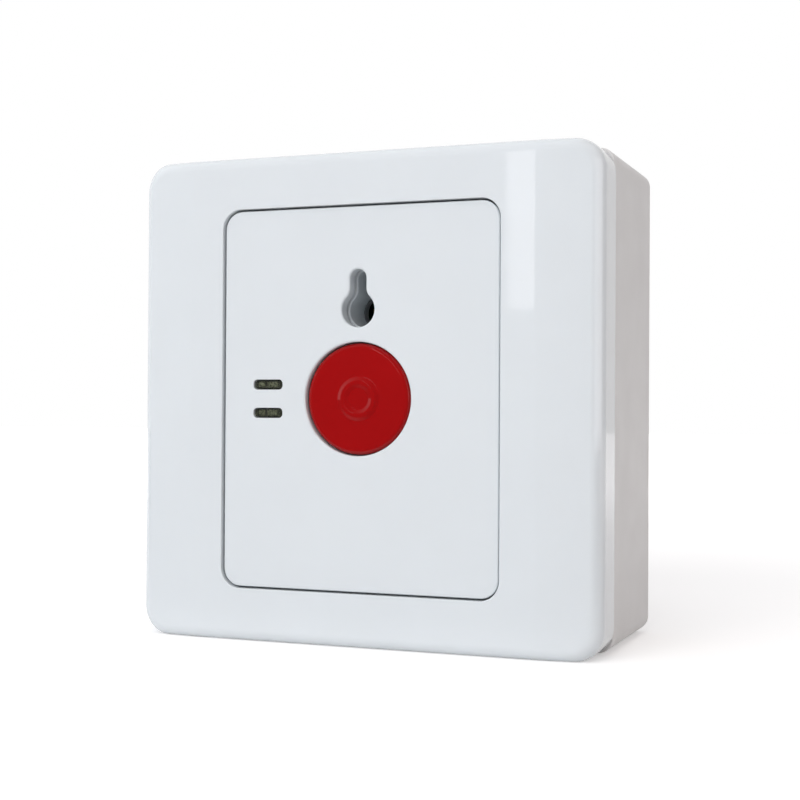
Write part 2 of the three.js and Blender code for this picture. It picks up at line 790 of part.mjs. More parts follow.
function resistorSolid(z) {
  const axisY = boardFront - resistor.radius - fitGap;
  const waist = resistor.radius * 0.85;
  const cap = resistor.length * 0.2;
  const half = resistor.length / 2;
  const profile = [[0, -half], [waist, -half], [resistor.radius, -half + cap / 2], [waist, -half + cap]];
  const other = profile.map(([radius, y]) => [radius, -y]).reverse();
  const points = [...profile, ...other].map(([radius, y]) => new THREE.Vector2(radius, y));
  const geometry = new THREE.LatheGeometry(points, 12);
  geometry.rotateZ(Math.PI / 2);
  geometry.translate(resistor.x, axisY, z);
  const reach = resistor.pitch / 2 + legSize / 2;
  const thin = legSize / 2;
  const lead = block(resistor.x - reach, resistor.x + reach, axisY - thin, axisY + thin, z - thin, z + thin);
  let solid = toSolid(geometry).add(lead);
  [-1, 1].forEach((sign) => {
    const x = resistor.x + (sign * resistor.pitch) / 2;
    solid = solid.add(post(x, z, legSize, legSize, axisY, boardRear + legTail));
  });
  return solid;
}

const cageFront = blockFront + blockFloor + fitGap;
const cageRear = cageFront + cageHeight;

function terminalBlock() {
  const half = (blockPoles * blockPitch) / 2 + blockEnd;
  const z0 = blockZ - blockDepth / 2;
  const z1 = blockZ + blockDepth / 2;
  let body = block(-half, half, blockFront, blockRear, z0, z1);
  poles.forEach((x) => {
    const pocketX = cageWidth / 2 + fitGap;
    const pocketEnd = blockZ + cageLength / 2 + fitGap;
    const pocket = block(x - pocketX, x + pocketX, cageFront - fitGap, cageRear + fitGap, z0 - 1, pocketEnd);
    body = body.subtract(pocket);
    body = body.subtract(rod(blockScrew.head + fitGap, x, blockZ, cageRear, blockRear + 1, 12));
    const pin = 2 * legSize + 2 * fitGap;
    body = body.subtract(post(x, blockZ, pin, pin, blockFront - 1, cageFront));
  });
  return body;
}

// Brass cage with its wire window along Z, a hole for the screw and a solder pin
function terminalClamp(x) {
  let cage = post(x, blockZ, cageWidth, cageLength, cageFront, cageRear);
  const screwWall = cageWall * 1.5;
  const wire = post(
    x, blockZ, cageWidth - 2 * cageWall, cageLength + 1, cageFront + cageWall, cageRear - screwWall,
  );
  cage = cage.subtract(wire);
  cage = cage.subtract(rod(blockScrew.shank + pinGap, x, blockZ, cageRear - screwWall - 1, cageRear + 1, 12));
  return cage.add(post(x, blockZ, 2 * legSize, 2 * legSize, boardFront - legTail, cageFront + root));
}

function mountingYoke() {
  const half = rimOuter;
  const corner = frameCorner - frameWall * 0.6;
  let yoke = slab(roundedRect(2 * half, 2 * half, corner), yokeTop, yokeRear);
  const ringWidth = panelWidth - 2 * ringInset;
  const ringHeightOuter = panelHeight - 2 * ringInset;
  const ringCorner = panelCorner;
  const ring = roundedRect(ringWidth, ringHeightOuter, ringCorner);
  yoke = yoke.add(slab(ring, panelRear + fitGap, yokeTop + root));
  const thin = 2 * ringWall;
  const bore = roundedRect(ringWidth - thin, ringHeightOuter - thin, ringCorner - ringWall);
  yoke = yoke.subtract(slab(bore, panelRear, yokeRear + 1));
  // Rim round the edge, with a bead that the frame snaps behind
  const rimFront = yokeTop - yokeRimHeight;
  const rimHalf = frameInner - clipReach - fitGap;
  const rim = roundedRect(2 * rimHalf, 2 * rimHalf, corner);
  rim.holes.push(roundedRect(2 * (rimHalf - yokeRim), 2 * (rimHalf - yokeRim), corner - yokeRim));
  yoke = yoke.add(slab(rim, rimFront, yokeTop + root));
  const outer = rimHalf + clipReach;
  const inner = rimHalf - yokeRim / 2;
  const long = clipLength / 2;
  [
    [inner, outer, -long, long],
    [-outer, -inner, -long, long],
    [-long, long, inner, outer],
    [-long, long, -outer, -inner],
  ].forEach(([x0, x1, z0, z1]) => {
    yoke = yoke.add(block(x0, x1, rimFront, rimFront + clipHeight, z0, z1));
  });
  sides.forEach(([, sign]) => {
    const slot = roundedRect(yokeSlot.length, yokeSlot.width, yokeSlot.width / 2 - 0.01, sign * bossX, 0);
    yoke = yoke.subtract(slab(slot, yokeTop - 1, yokeRear + 1));
  });
  return yoke;
}

function surfaceBox() {
  const half = boxSize / 2;
  const edge = (inset, y) => ({
    halfWidth: half - inset,
    halfHeight: half - inset,
    corner: boxCorner - inset,
    depthAt: () => y,
  });
  let box = loft([
    edge(boxRearEdge, 0),
    edge(boxRearEdge * 0.3, -boxRearEdge * 0.3),
    edge(0, -boxRearEdge),
    edge(0, -boxDepth),
  ], false);
  const inside = boxSize - 2 * boxWall;
  const cavity = roundedRect(inside, inside, boxCorner - boxWall);
  box = box.subtract(slab(cavity, -boxDepth - 1, -boxWall));
  const holeDepth = -boxDepth - fitGap - yokeThick - fitGap + mainScrew.length + fitGap;
  sides.forEach(([, sign]) => {
    const x = sign * bossX;
    const wallX = sign * (half - boxWall / 2);
    box = box.add(rod(bossRadius, x, 0, -boxDepth, -boxWall / 2, 20));
    box = box.add(block(...ordered(x, wallX), -boxDepth, -boxWall / 2, -bossRib / 2, bossRib / 2));
    const seatRear = -boxDepth + insertLength + fitGap;
    box = box.subtract(rod(insertRadius + fitGap, x, 0, -boxDepth - 1, seatRear));
    box = box.subtract(rod(mainScrew.shank + fitGap, x, 0, seatRear - 1, holeDepth + fitGap, 12));
    // Thin places inside the upper and lower walls, to break out for a conduit
    const z0 = sign * (half - boxWall);
    const z1 = sign * (half - boxWall + knockout.recess);
    const mid = -boxDepth / 2;
    box = box.subtract(block(
      -knockout.width / 2,
      knockout.width / 2,
      mid - knockout.depth / 2,
      mid + knockout.depth / 2,
      ...ordered(z0 - sign, z1),
    ));
  });
  const entry = roundedRect(cableEntry.width, cableEntry.height, cableEntry.corner, 0, cableEntry.z);
  box = box.subtract(slab(entry, -boxWall - 1, 1));
  fourCorners(wallSlot.x, wallSlot.z).forEach(([x, z]) => {
    const slot = roundedRect(wallSlot.length, wallSlot.width, wallSlot.width / 2 - 0.01, x, z);
    box = box.subtract(slab(slot, -boxWall - 1, 1));
  });
  return box;
}

function threadedInsert(x) {
  const front = -boxDepth;
  const rear = front + insertLength;
  return rod(insertRadius, x, 0, front, rear)
    .subtract(rod(mainScrew.shank + fitGap, x, 0, front - 1, rear + 1, 12));
}

addSolid('surface_box', surfaceBox(), finish.boxWhite);
addSolid('front_frame', frontFrame(), finish.white);
addSolid('mounting_yoke', mountingYoke(), finish.white);

const panelAssembly = new THREE.Group();
station.add(panelAssembly);
addSolid('centre_panel', centrePanel(), finish.white, panelAssembly);
addSolid('key_guide', keyGuide(), finish.white, panelAssembly);
addSolid('switch_housing', switchHousing(), finish.grey, panelAssembly);
lights.forEach(([name, z]) => addSolid(name, indicatorLight(z), finish.clear, panelAssembly));

const button = new THREE.Group();
station.add(button);
addSolid('push_button', pushButton(), finish.red, button);
addSolid('button_stem', buttonStem(), finish.black, button);
const springFront = capCeiling + fitGap;
const springRear = baseFront - fitGap;
addMesh('return_spring', coil(springRadius, springWire, springTurns, springFront, springRear), finish.steel);

addSolid('latch_slide', latchSlide(), finish.steel);
const latchCoil = coil(latchSpringRadius, latchSpringWire, latchSpringTurns, 0, latchSpringLength);
const latchSpring = addMesh('latch_spring', latchCoil, finish.steel);
latchSpring.rotation.x = Math.PI / 2;
latchSpring.position.set(0, latchMiddle, latchTop + fitGap);

const switchGroup = new THREE.Group();
station.add(switchGroup);
addSolid('micro_switch', microSwitch(), finish.black, switchGroup);
addSolid('lever_pin', crossPin(pinRadius, switchWidth), finish.steel, switchGroup);
addSolid('switch_plunger', switchPlunger(), finish.red, switchGroup);
const lever = addSolid('switch_lever', switchLever(), finish.steel, switchGroup);
lever.position.set(hingeX, hingeY, 0);
lever.rotation.z = -leverSlope;
switchTerminals.forEach((x, i) => {
  const strip = post(x, 0, terminalWidth, terminalThick, switchRear - terminalInset, boardRear + legTail);
  addSolid(`switch_terminal_${i + 1}`, strip, finish.brass, switchGroup);
});

const boardGroup = new THREE.Group();
station.add(boardGroup);
addSolid('circuit_board', circuitBoard(), finish.green, boardGroup);
resistor.z.forEach((z, i) => addSolid(`resistor_${i + 1}`, resistorSolid(z), finish.tan, boardGroup));
addSolid('terminal_block', terminalBlock(), finish.blue, boardGroup);
poles.forEach((x, i) => {
  addSolid(`terminal_clamp_${i + 1}`, terminalClamp(x), finish.brass, boardGroup);
  const reach = fitGap + cageWall * 1.5 + cageWall;
  const screwShape = screwSolid({ ...blockScrew, length: reach });
  const screw = addSolid(`terminal_screw_${i + 1}`, screwShape, finish.steel);
  screw.position.set(x, cageRear + fitGap, blockZ);
});

panelBosses.forEach(([x, z], i) => {
  const screw = addSolid(`housing_screw_${i + 1}`, screwSolid(smallScrew), finish.steel);
  screw.position.set(x, baseRear + fitGap, z);
});
boardPosts.forEach(([x, z], i) => {
  const screw = addSolid(`board_screw_${i + 1}`, screwSolid(boardScrew), finish.steel);
  screw.position.set(x, boardRear + fitGap, z);
});
sides.forEach(([side, sign]) => {
  const screw = addSolid(`mounting_screw_${side}`, screwSolid(mainScrew), finish.steel);
  screw.rotation.x = Math.PI;
  screw.position.set(sign * bossX, yokeTop - fitGap, 0);
  addSolid(`insert_${side}`, threadedInsert(sign * bossX), finish.brass);
});

export default station;
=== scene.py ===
"""Looks of an emergency call station: a red press-and-hold button with key
release and two indicator lights, on a faceplate that closes a wall box.

Sizes are in millimetres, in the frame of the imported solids: X runs right, Z up
and Y into the wall, so the front faces -Y. Skin.build() turns them to metres.
"""

import math

import bpy
from mathutils import Matrix, Vector
from mathutils.geometry import delaunay_2d_cdt

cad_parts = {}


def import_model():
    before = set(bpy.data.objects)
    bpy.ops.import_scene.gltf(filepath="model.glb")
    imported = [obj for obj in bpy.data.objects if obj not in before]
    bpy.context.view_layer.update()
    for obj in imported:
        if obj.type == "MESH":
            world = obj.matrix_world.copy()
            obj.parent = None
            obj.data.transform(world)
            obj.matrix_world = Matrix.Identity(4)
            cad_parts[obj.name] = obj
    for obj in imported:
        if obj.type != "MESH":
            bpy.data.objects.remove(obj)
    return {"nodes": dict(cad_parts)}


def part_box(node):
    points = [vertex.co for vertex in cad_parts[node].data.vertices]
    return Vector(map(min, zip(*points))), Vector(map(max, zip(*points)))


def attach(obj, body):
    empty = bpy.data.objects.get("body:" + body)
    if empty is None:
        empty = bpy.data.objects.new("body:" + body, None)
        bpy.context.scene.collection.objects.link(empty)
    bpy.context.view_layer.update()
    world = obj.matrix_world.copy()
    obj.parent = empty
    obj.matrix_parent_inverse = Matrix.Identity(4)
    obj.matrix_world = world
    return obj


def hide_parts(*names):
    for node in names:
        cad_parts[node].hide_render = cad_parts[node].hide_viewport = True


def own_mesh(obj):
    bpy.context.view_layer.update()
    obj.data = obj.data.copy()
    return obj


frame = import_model()
bpy.context.view_layer.update()

MM = 0.001


def reach(node):
    """Lowest and highest corner of a CAD node, in millimetres."""
    low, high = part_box(node)
    return low / MM, high / MM


# Edges that many pieces share
EDGE = 0.2  # rounding of a small moulded edge
REAR_FLARE = 0.15  # rounding of an opening's rear edge
FRONT_MARGIN, REAR_MARGIN = 0.15, 0.1  # flat rings round an opening, beyond its rounded edges
EIGHTHS = [s / 8 for s in range(7, -8, -1)]

# Faceplate frame
FRAME_HALF = 43
FRAME_CORNER = 5
CORNER_SHARE = 0.6  # what the corner radius loses of an inset
FRAME_EDGE, EDGE_STEPS = 2.2, 14
FRAME_WALL = 1.9
FRAME_FRONT = 2.2
FRAME_FRONT_Y = reach("front_frame")[0].y
FRAME_REAR_Y = reach("front_frame")[1].y
OPEN_X, OPEN_Z, OPEN_CORNER = 25.9, 33.6, 3.5
OPEN_BACK = 0.4  # flat ring round the rear of the opening
LIP = 0.16
LEVEL_HALF = 31.65  # half the width of the level middle of the front
CREASE = 0.7  # width of the soft crease where it starts to fall back
CREASE_SLOPE = 0.07
FRAME_FALL = 1.5
FALL_COLUMNS = [33, 33.8, 34.6, 35.4, 36.2]  # more columns of points, beyond the crease
RIDGE_LENGTH, RIDGE_REACH, RIDGE_ROOT, RIDGE_DEPTH = 12, 0.7, 0.6, 0.8
RIDGE_FRONT_Y = -34.202

# Centre panel
PANEL_X, PANEL_Z, PANEL_CORNER = 25.6, 33.3, 3.2
PANEL_EDGE = 0.3
PANEL_FRONT_Y = reach("centre_panel")[0].y
PANEL_REAR_Y = PANEL_FRONT_Y + 2.6
HOLE_RADIUS = 9.86
HOLE_FLARE, KEY_FLARE = 0.4, 0.4
WINDOW = (2.825, 0.875, 0.7)  # half width, half height and corner of a light's window
WINDOW_FLARE, WINDOW_REAR_FLARE = 0.14, 0.1
LIGHT_X, LIGHT_Z = -17.1, 2.5
LIGHT_BOSS = (4, 4.7, 2.8)  # half width, half height and depth
LIGHT_BOSS_CORNER, LIGHT_BOSS_INSET = 0.6, 0.3
HOOK = {"outer": 22.1, "thick": 1.2, "nose": 1.2, "z": 18, "width": 6, "root": 0.4}
BOSS_RADIUS, BOSS_BORE, BORE_DEPTH = 3, 1.4, 5.4
BASE_FRONT_Y = -28.902  # front of the base plate
BOSS_GAP = 0.3  # between the bosses and the base plate

# Keyhole
KEY_BULB, KEY_NECK, KEY_FILLET = 3.05, 1.52, 2.1
KEY_TOP, KEY_CENTRE = 22.44, 15.45
GUIDE_INSET = 0.1
GUIDE_CORNER, GUIDE_EDGE, GUIDE_RIM, GUIDE_FLARE = 2.5, 0.25, 0.4, 0.3

# Button
CAP_RADIUS = 9.7
CAP_WALL = 1.5
CAP_RIM = 1.0
CAP_RISE = 0.35  # the moulded crown stands this much prouder than the plain solid
RING = (1.85, 2.6, 3.15, 3.9)  # radii of the raised ring: inner foot, crest from and to, outer foot
RING_HEIGHT = 0.35
RING_BLEND, DISH_BLEND = 0.55, 0.5
SKIRT_EDGE = 0.25
STEM_SOCKET = (3.3, 4.5)  # bore and outside radius

# Wall box
BOX_HALF = 42.7
BOX_CORNER = 2.7
BOX_WALL = 2.2
BOX_REAR_EDGE = 0.35
BOX_RIM_EDGE = 0.3
BOX_FRONT_Y = reach("surface_box")[0].y
ENTRY = (11, 8.5, 4, -17)  # half width, half height, corner and height of its middle
SLOT = (4.5, 2.3, 20, 29)  # half length, half width and place of a wall slot
BOX_HOLE_FLARE = 0.3
FIXING_X = 30.15
FIXING = (5, 3.7, 2.2)  # radii of a fixing boss, its recess and its bore
FIXING_SEAT = 8.3  # depth of the recess
FIXING_END_Y = -14
FIXING_ROOT = 0.5  # how far bosses and ribs reach into the box's rear wall
RIB_HALF, RIB_OVERLAP = 1.5, 0.4

# Springs
COIL_STEPS = 40  # sections in a turn
WIRE_SIDES = 12
END_EASE = 0.62  # how nearly flat the first and last turns lie

# Indicator lights
LIGHT_GAP = 0.2  # between a light and its window
LIGHT_CORNER = 0.5
LIGHT_LENGTH = 5.2  # from a light's face to its flange
FLANGE_REACH, FLANGE_DEPTH = 0.4, 1
FACE_RIM = 0.3
LIGHT_METAL = [
    # left, right, near, far, half height, edge and steps in it
    (-2.1, -0.75, 0.45, 1.5, 0.42, 0.2, 3),
    (-0.35, 1.75, 0.35, 1.7, 0.5, 0.22, 3),
    (-2.3, 2.3, 2.6, 2.8, 0.6, 0.08, 2),
]
LEG = {"x": 1.27, "half": 0.25, "start": 1.2, "edge": 0.06}

# Circuit board
BOARD_REAR_Y = reach("circuit_board")[1].y
TRACE_HALF, TRACE_HEIGHT = 0.45, 0.035
SOLDER = [(1.05, 0), (1.0, 0.06, 0.04), (0.62, 0.2, 0.3), (0.36, 0.75, 0.12), (0.3, 0.8)]
RESISTOR_LENGTH, RESISTOR_RADIUS = 6, 1.1
RESISTOR = [
    (0, -3), (0.85, -3, 0.3), (1.1, -2.3, 0.4), (0.88, -1.5, 0.5),
    (0.88, 1.5, 0.5), (1.1, 2.3, 0.4), (0.85, 3, 0.3), (0, 3),
]
WIRE_RADIUS, WIRE_BEND, WIRE_PLACE = 0.25, 0.5, 5
WIRE_START, WIRE_END = 2.8, 4.6  # ends of a wire's straight part, from the resistor's middle
BEND_STEPS, BEND_SIDES = 6, 16


# Profiles and outlines
def profile(corners, outside=1, steps=6):
    """Rows of (point, normal) along a line through corners (offset, y, radius),
    in runs that end where a corner is sharp. The outside is left of travel for
    1 and right for -1."""
    points = [Vector(c[:2]) for c in corners]
    lines = [(b - a).normalized() for a, b in zip(points, points[1:])]
    normals = [Vector((-d.y, d.x)) * outside for d in lines]
    run = [(points[0], normals[0])]
    runs = [run]
    for i in range(1, len(points) - 1):
        radius = corners[i][2] if len(corners[i]) > 2 else 0
        before, after = normals[i - 1], normals[i]
        if radius == 0:
            run.append((points[i], before))
            run = [(points[i], after)]
            runs.append(run)
            continue
        first, second = lines[i - 1], lines[i]
        turn = math.atan2(first.x * second.y - first.y * second.x, first.dot(second))
        start = points[i] - first * radius * math.tan(abs(turn) / 2)
        arm = -radius if turn * outside > 0 else radius
        centre = start - before * arm
        for k in range(steps + 1):
            normal = Matrix.Rotation(turn * k / steps, 2) @ before
            run.append((centre + normal * arm, normal))
    run.append((points[-1], normals[-1]))
    return runs


def rounded(half_x, half_z, corner, x=0, z=0, steps=12, shares=()):
    """Outline of a rounded rectangle, as a function of how far outside it to
    go. Its points are (x, z, direction x, direction z). Shares of the straight
    upper and lower sides get points too."""

    def outline(offset):
        radius = max(corner + offset, 0)
        middle_x, middle_z = half_x + offset - radius, half_z + offset - radius
        points = []
        for side_x, side_z, start in ((1, 1, 0), (-1, 1, 90), (-1, -1, 180), (1, -1, 270)):
            for k in range(steps + 1):
                angle = math.radians(start + 90 * k / steps)
                out = math.cos(angle), math.sin(angle)
                points.append((
                    x + side_x * middle_x + radius * out[0],
                    z + side_z * middle_z + radius * out[1],
                    *out,
                ))
            if start in (0, 180):
                points += [
                    (x + side_x * middle_x * share, z + side_z * (half_z + offset), 0, side_z)
                    for share in shares
                ]
        return points

    return outline


def circle(radius, x=0, z=0, steps=96):
    def outline(offset):
        arm = radius + offset
        angles = [2 * math.pi * k / steps for k in range(steps)]
        ways = [(math.cos(a), math.sin(a)) for a in angles]
        return [(x + arm * across, z + arm * up, across, up) for across, up in ways]

    return outline


def keyhole(inset, steps=16):
    def outline(offset):
        grow = offset - inset
        bulb, neck, fillet = KEY_BULB + grow, KEY_NECK + grow, KEY_FILLET - grow
        side = neck + fillet
        rise = math.sqrt((bulb + fillet) ** 2 - side**2)
        turn = math.atan2(rise, side)
        arcs = [
            (0, KEY_TOP - KEY_NECK, neck, 0, math.pi, 1, steps),
            (-side, KEY_CENTRE + rise, fillet, 0, -turn, -1, steps // 2),
            (0, KEY_CENTRE, bulb, math.pi - turn, 2 * math.pi + turn, 1, steps * 2),
            (side, KEY_CENTRE + rise, fillet, math.pi + turn, math.pi, -1, steps // 2),
        ]
        points = []
        for x, z, radius, start, end, out, count in arcs:
            for k in range(count + (radius == neck)):
                angle = start + (end - start) * k / count
                across, up = math.cos(angle), math.sin(angle)
                points.append((x + radius * across, z + radius * up, out * across, out * up))
        return points

    return outline


def inside(point, loop):
    """Whether a flat point lies inside a loop of points."""
    odd = False
    for a, b in zip(loop, loop[1:] + loop[:1]):
        if (a.y > point.y) != (b.y > point.y):
            odd ^= point.x < a.x + (point.y - a.y) * (b.x - a.x) / (b.y - a.y)
    return odd


class Skin:
    """The faces of one piece. Each vertex has its own normal, so a sharp edge
    is two rows of vertices in one place."""

    def __init__(self):
        self.points, self.normals, self.faces = [], [], []

    def row(self, points, normals):
        start = len(self.points)
        self.points += [Vector(p) for p in points]
        self.normals += [Vector(n).normalized() for n in normals]
        return range(start, len(self.points))

    def face(self, corners):
        """Adds a face without its repeated corners, turned the way its normals point."""
        kept = []
        for i in corners:
            if all((self.points[i] - self.points[k]).length > 1e-6 for k in kept):
                kept.append(i)
        if len(kept) < 3:
            return
        facing = Vector()
        for a, b in zip(kept, kept[1:] + kept[:1]):
            facing += self.points[a].cross(self.points[b])
        wanted = sum((self.normals[i] for i in kept), Vector())
        self.faces.append(kept if facing.dot(wanted) >= 0 else kept[::-1])

    def strip(self, a, b):
        """Closes the band between two rows that each go right round."""
        for i in range(len(a)):
            j = (i + 1) % len(a)
            self.face([a[i], a[j], b[j], b[i]])

    def sweep(self, runs, outline, turn=None):
        """Carries a profile round an outline, and then turns it all by a matrix."""
        turn = turn or Matrix.Identity(4)
        spin = turn.to_3x3()
        for run in runs:
            last = None
            for point, normal in run:
                ring = outline(point.x)
                here = self.row(
                    [turn @ Vector((x, point.y, z)) for x, z, _, _ in ring],
                    [spin @ Vector((normal.x * dx, normal.y, normal.x * dz)) for _, _, dx, dz in ring],
                )
                if last:
                    self.strip(last, here)
                last = here

    def fill(self, y, facing, outer, holes=()):
        """A flat face across Y inside one loop and outside others."""
        loops = [[Vector(p[:2]) for p in loop] for loop in (outer, *holes)]
        edges, start = [], 0
        for loop in loops:
            edges += [(start + i, start + (i + 1) % len(loop)) for i in range(len(loop))]
            start += len(loop)
        flat, _, triangles, *_ = delaunay_2d_cdt([p for loop in loops for p in loop], edges, [], 1, 1e-6)
        row = self.row([(p.x, y, p.y) for p in flat], [(0, facing, 0)] * len(flat))
        for corners in triangles:
            centre = sum((flat[i] for i in corners), Vector((0, 0))) / len(corners)
            if not any(inside(centre, loop) for loop in loops[1:]):
                self.face([row[i] for i in corners])

    def block(self, x, y, z, edge=EDGE, steps=2):
        """A block between pairs of places, with rounded edges."""
        (x0, x1), (y0, y1), (z0, z1) = sorted(x), sorted(y), sorted(z)
        outline = rounded((x1 - x0) / 2, (z1 - z0) / 2, edge, (x0 + x1) / 2, (z0 + z1) / 2, steps)
        self.sweep(profile([(-edge, y0), (0, y0, edge), (0, y1, edge), (-edge, y1)], -1, steps), outline)
        self.fill(y0, -1, outline(-edge))
        self.fill(y1, 1, outline(-edge))

    def turned(self, corners, x=0, z=0, outside=1, segments=96, steps=6, turn=None):
        """A profile of (radius, y, rounding) turned about a line along Y."""
        self.sweep(profile(corners, outside, steps), circle(0, x, z, segments), turn)

    def build(self, name, look, slot, body="station", replaces=()):
        mesh = bpy.data.meshes.new(name)
        mesh.from_pydata([p * MM for p in self.points], [], self.faces)
        mesh.shade_smooth()
        mesh.normals_split_custom_set_from_vertices(self.normals)
        mesh.materials.append(look)
        piece = bpy.data.objects.new(name, mesh)
        bpy.context.scene.collection.objects.link(piece)
        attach(piece, body)
        if replaces:
            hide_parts(*replaces)
        return piece


# Materials
def linear(red, green, blue):
    """A colour from its sRGB values of 0 to 255."""
    return tuple(
        ((c / 255 + 0.055) / 1.055) ** 2.4 if c > 10 else c / 255 / 12.92
        for c in (red, green, blue)
    )


def material(name, **values):
    """A Principled material and its node tree, shader and place to read."""
    made = bpy.data.materials.new(name)
    made.use_nodes = True
    tree = made.node_tree
    shader = tree.nodes["Principled BSDF"]
    for socket, value in values.items():
        shader.inputs[socket.replace("_", " ")].default_value = value
    place = tree.nodes.new("ShaderNodeTexCoord").outputs["Object"]
    return made, tree, shader, place


def noise(tree, place, size, detail=2, stretch=(1, 1, 1)):
    """Noise whose features are about size millimetres."""
    scaling = tree.nodes.new("ShaderNodeMapping")
    scaling.inputs["Scale"].default_value = tuple(s / (size * MM) for s in stretch)
    tree.links.new(place, scaling.inputs["Vector"])
    node = tree.nodes.new("ShaderNodeTexNoise")
    node.inputs["Scale"].default_value = 1
    node.inputs["Detail"].default_value = detail
    tree.links.new(scaling.outputs["Vector"], node.inputs["Vector"])
    return node.outputs["Fac"]


def spread(tree, source, low, high, socket):
    """Maps noise, which seldom leaves 0.3 to 0.7, to values from low to high."""
    node = tree.nodes.new("ShaderNodeMapRange")
    node.inputs["From Min"].default_value = 0.3
    node.inputs["From Max"].default_value = 0.7
    node.inputs["To Min"].default_value = low
    node.inputs["To Max"].default_value = high
    tree.links.new(source, node.inputs["Value"])
    tree.links.new(node.outputs["Result"], socket)


def shades(tree, source, colors, socket):
    """Maps 0 to 1 to a row of (place, colour)."""
    node = tree.nodes.new("ShaderNodeValToRGB")
    band = node.color_ramp
    while len(band.elements) < len(colors):
        band.elements.new(0.5)
    for element, (where, color) in zip(band.elements, colors):
        element.position = where
        element.color = (*color, 1)
    tree.links.new(source, node.inputs["Fac"])
    tree.links.new(node.outputs["Color"], socket)
    return band


def relief(tree, shader, source, height):
    """Bump of a height in millimetres."""
    node = tree.nodes.new("ShaderNodeBump")
    node.inputs["Strength"].default_value = 1
    node.inputs["Distance"].default_value = height * MM
    tree.links.new(source, node.inputs["Height"])
    tree.links.new(node.outputs["Normal"], shader.inputs["Normal"])


def tones(color, tone):
    """A colour a little lighter, and a little darker."""
    return (tuple(min(1, c * (1 + side * tone)) for c in color) for side in (1, -1))


def plastic(name, color, roughness, grain=0.4, height=0.001, tone=0.02, **values):
    """Moulded plastic: cloudy tone, uneven gloss and the tool's grain."""
    made, tree, shader, place = material(name, **values)
    light, dark = tones(color, tone)
    shades(tree, noise(tree, place, 14), [(0.35, dark), (0.65, light)], shader.inputs["Base Color"])
    spread(tree, noise(tree, place, 5), *roughness, shader.inputs["Roughness"])
    relief(tree, shader, noise(tree, place, grain, 3), height)
    return made


def metal(name, color, roughness, stretch=(1, 1, 1), tone=0.12, height=0.0015):
    """Metal with the fine lines of its drawing or plating."""
    made, tree, shader, place = material(name, Metallic=1)
    light, dark = tones(color, tone)
    shades(tree, noise(tree, place, 2.5, 3), [(0.35, dark), (0.65, light)], shader.inputs["Base Color"])
    lines = noise(tree, place, 0.25, 2, stretch)
    spread(tree, lines, *roughness, shader.inputs["Roughness"])
    relief(tree, shader, lines, height)
    return made


white = plastic(
    "moulded_white", linear(221, 227, 231), (0.022, 0.045), 0.9, 0.0004, 0.006,
    Subsurface_Weight=0.08, Subsurface_Radius=(1, 0.9, 0.8), Subsurface_Scale=0.0008,
)
box_white = plastic("moulded_box_white", linear(220, 220, 220), (0.42, 0.52), 0.35, 0.002, 0.012)
yoke_white = plastic("moulded_yoke_white", linear(224, 225, 224), (0.4, 0.5), 0.35, 0.002)
red = plastic("moulded_red", linear(157, 6, 9), (0.03, 0.055), 1.1, 0.0004, 0.03)
black = plastic("moulded_black", linear(34, 35, 37), (0.45, 0.6), 0.3, 0.002, 0.08)
grey = plastic("moulded_grey", linear(142, 146, 149), (0.45, 0.58), 0.35, 0.002, 0.03)
blue = plastic("moulded_blue", linear(38, 104, 160), (0.4, 0.52), 0.35, 0.002, 0.03)
steel = metal("zinc_plated_steel", linear(196, 199, 204), (0.22, 0.36), (1, 1, 6))
spring_steel = metal("spring_wire", linear(176, 178, 182), (0.18, 0.3), (1, 6, 1))
brass = metal("brass", linear(205, 172, 96), (0.22, 0.36), (1, 1, 5))
tin = metal("tinned_copper", linear(203, 205, 207), (0.16, 0.3), (1, 1, 1), 0.06, 0.004)


def epoxy():
    made, tree, shader, place = material("light_epoxy", Transmission_Weight=0.93, IOR=1.5)
    shades(tree, noise(tree, place, 1.5), [(0.3, linear(150, 156, 136)), (0.7, linear(172, 178, 158))],
           shader.inputs["Base Color"])
    spread(tree, noise(tree, place, 0.8), 0.03, 0.09, shader.inputs["Roughness"])
    return made


def lead_frame():
    made, tree, shader, place = material("light_lead_frame", Metallic=0.1)
    shades(tree, noise(tree, place, 0.35, 4), [(0.38, linear(84, 86, 70)), (0.62, linear(186, 188, 166))],
           shader.inputs["Base Color"])
    spread(tree, noise(tree, place, 0.3), 0.25, 0.5, shader.inputs["Roughness"])
    return made


def laminate():
    made, tree, shader, place = material("board_laminate", Coat_Weight=0.6, Coat_Roughness=0.15)
    shades(tree, noise(tree, place, 1.2, 4), [(0.3, linear(22, 84, 52)), (0.7, linear(30, 100, 62))],
           shader.inputs["Base Color"])
    spread(tree, noise(tree, place, 3), 0.3, 0.42, shader.inputs["Roughness"])
    weave = tree.nodes.new("ShaderNodeTexChecker")
    weave.inputs["Scale"].default_value = 1 / (0.5 * MM)
    tree.links.new(place, weave.inputs["Vector"])
    relief(tree, shader, weave.outputs["Fac"], 0.006)
    return made


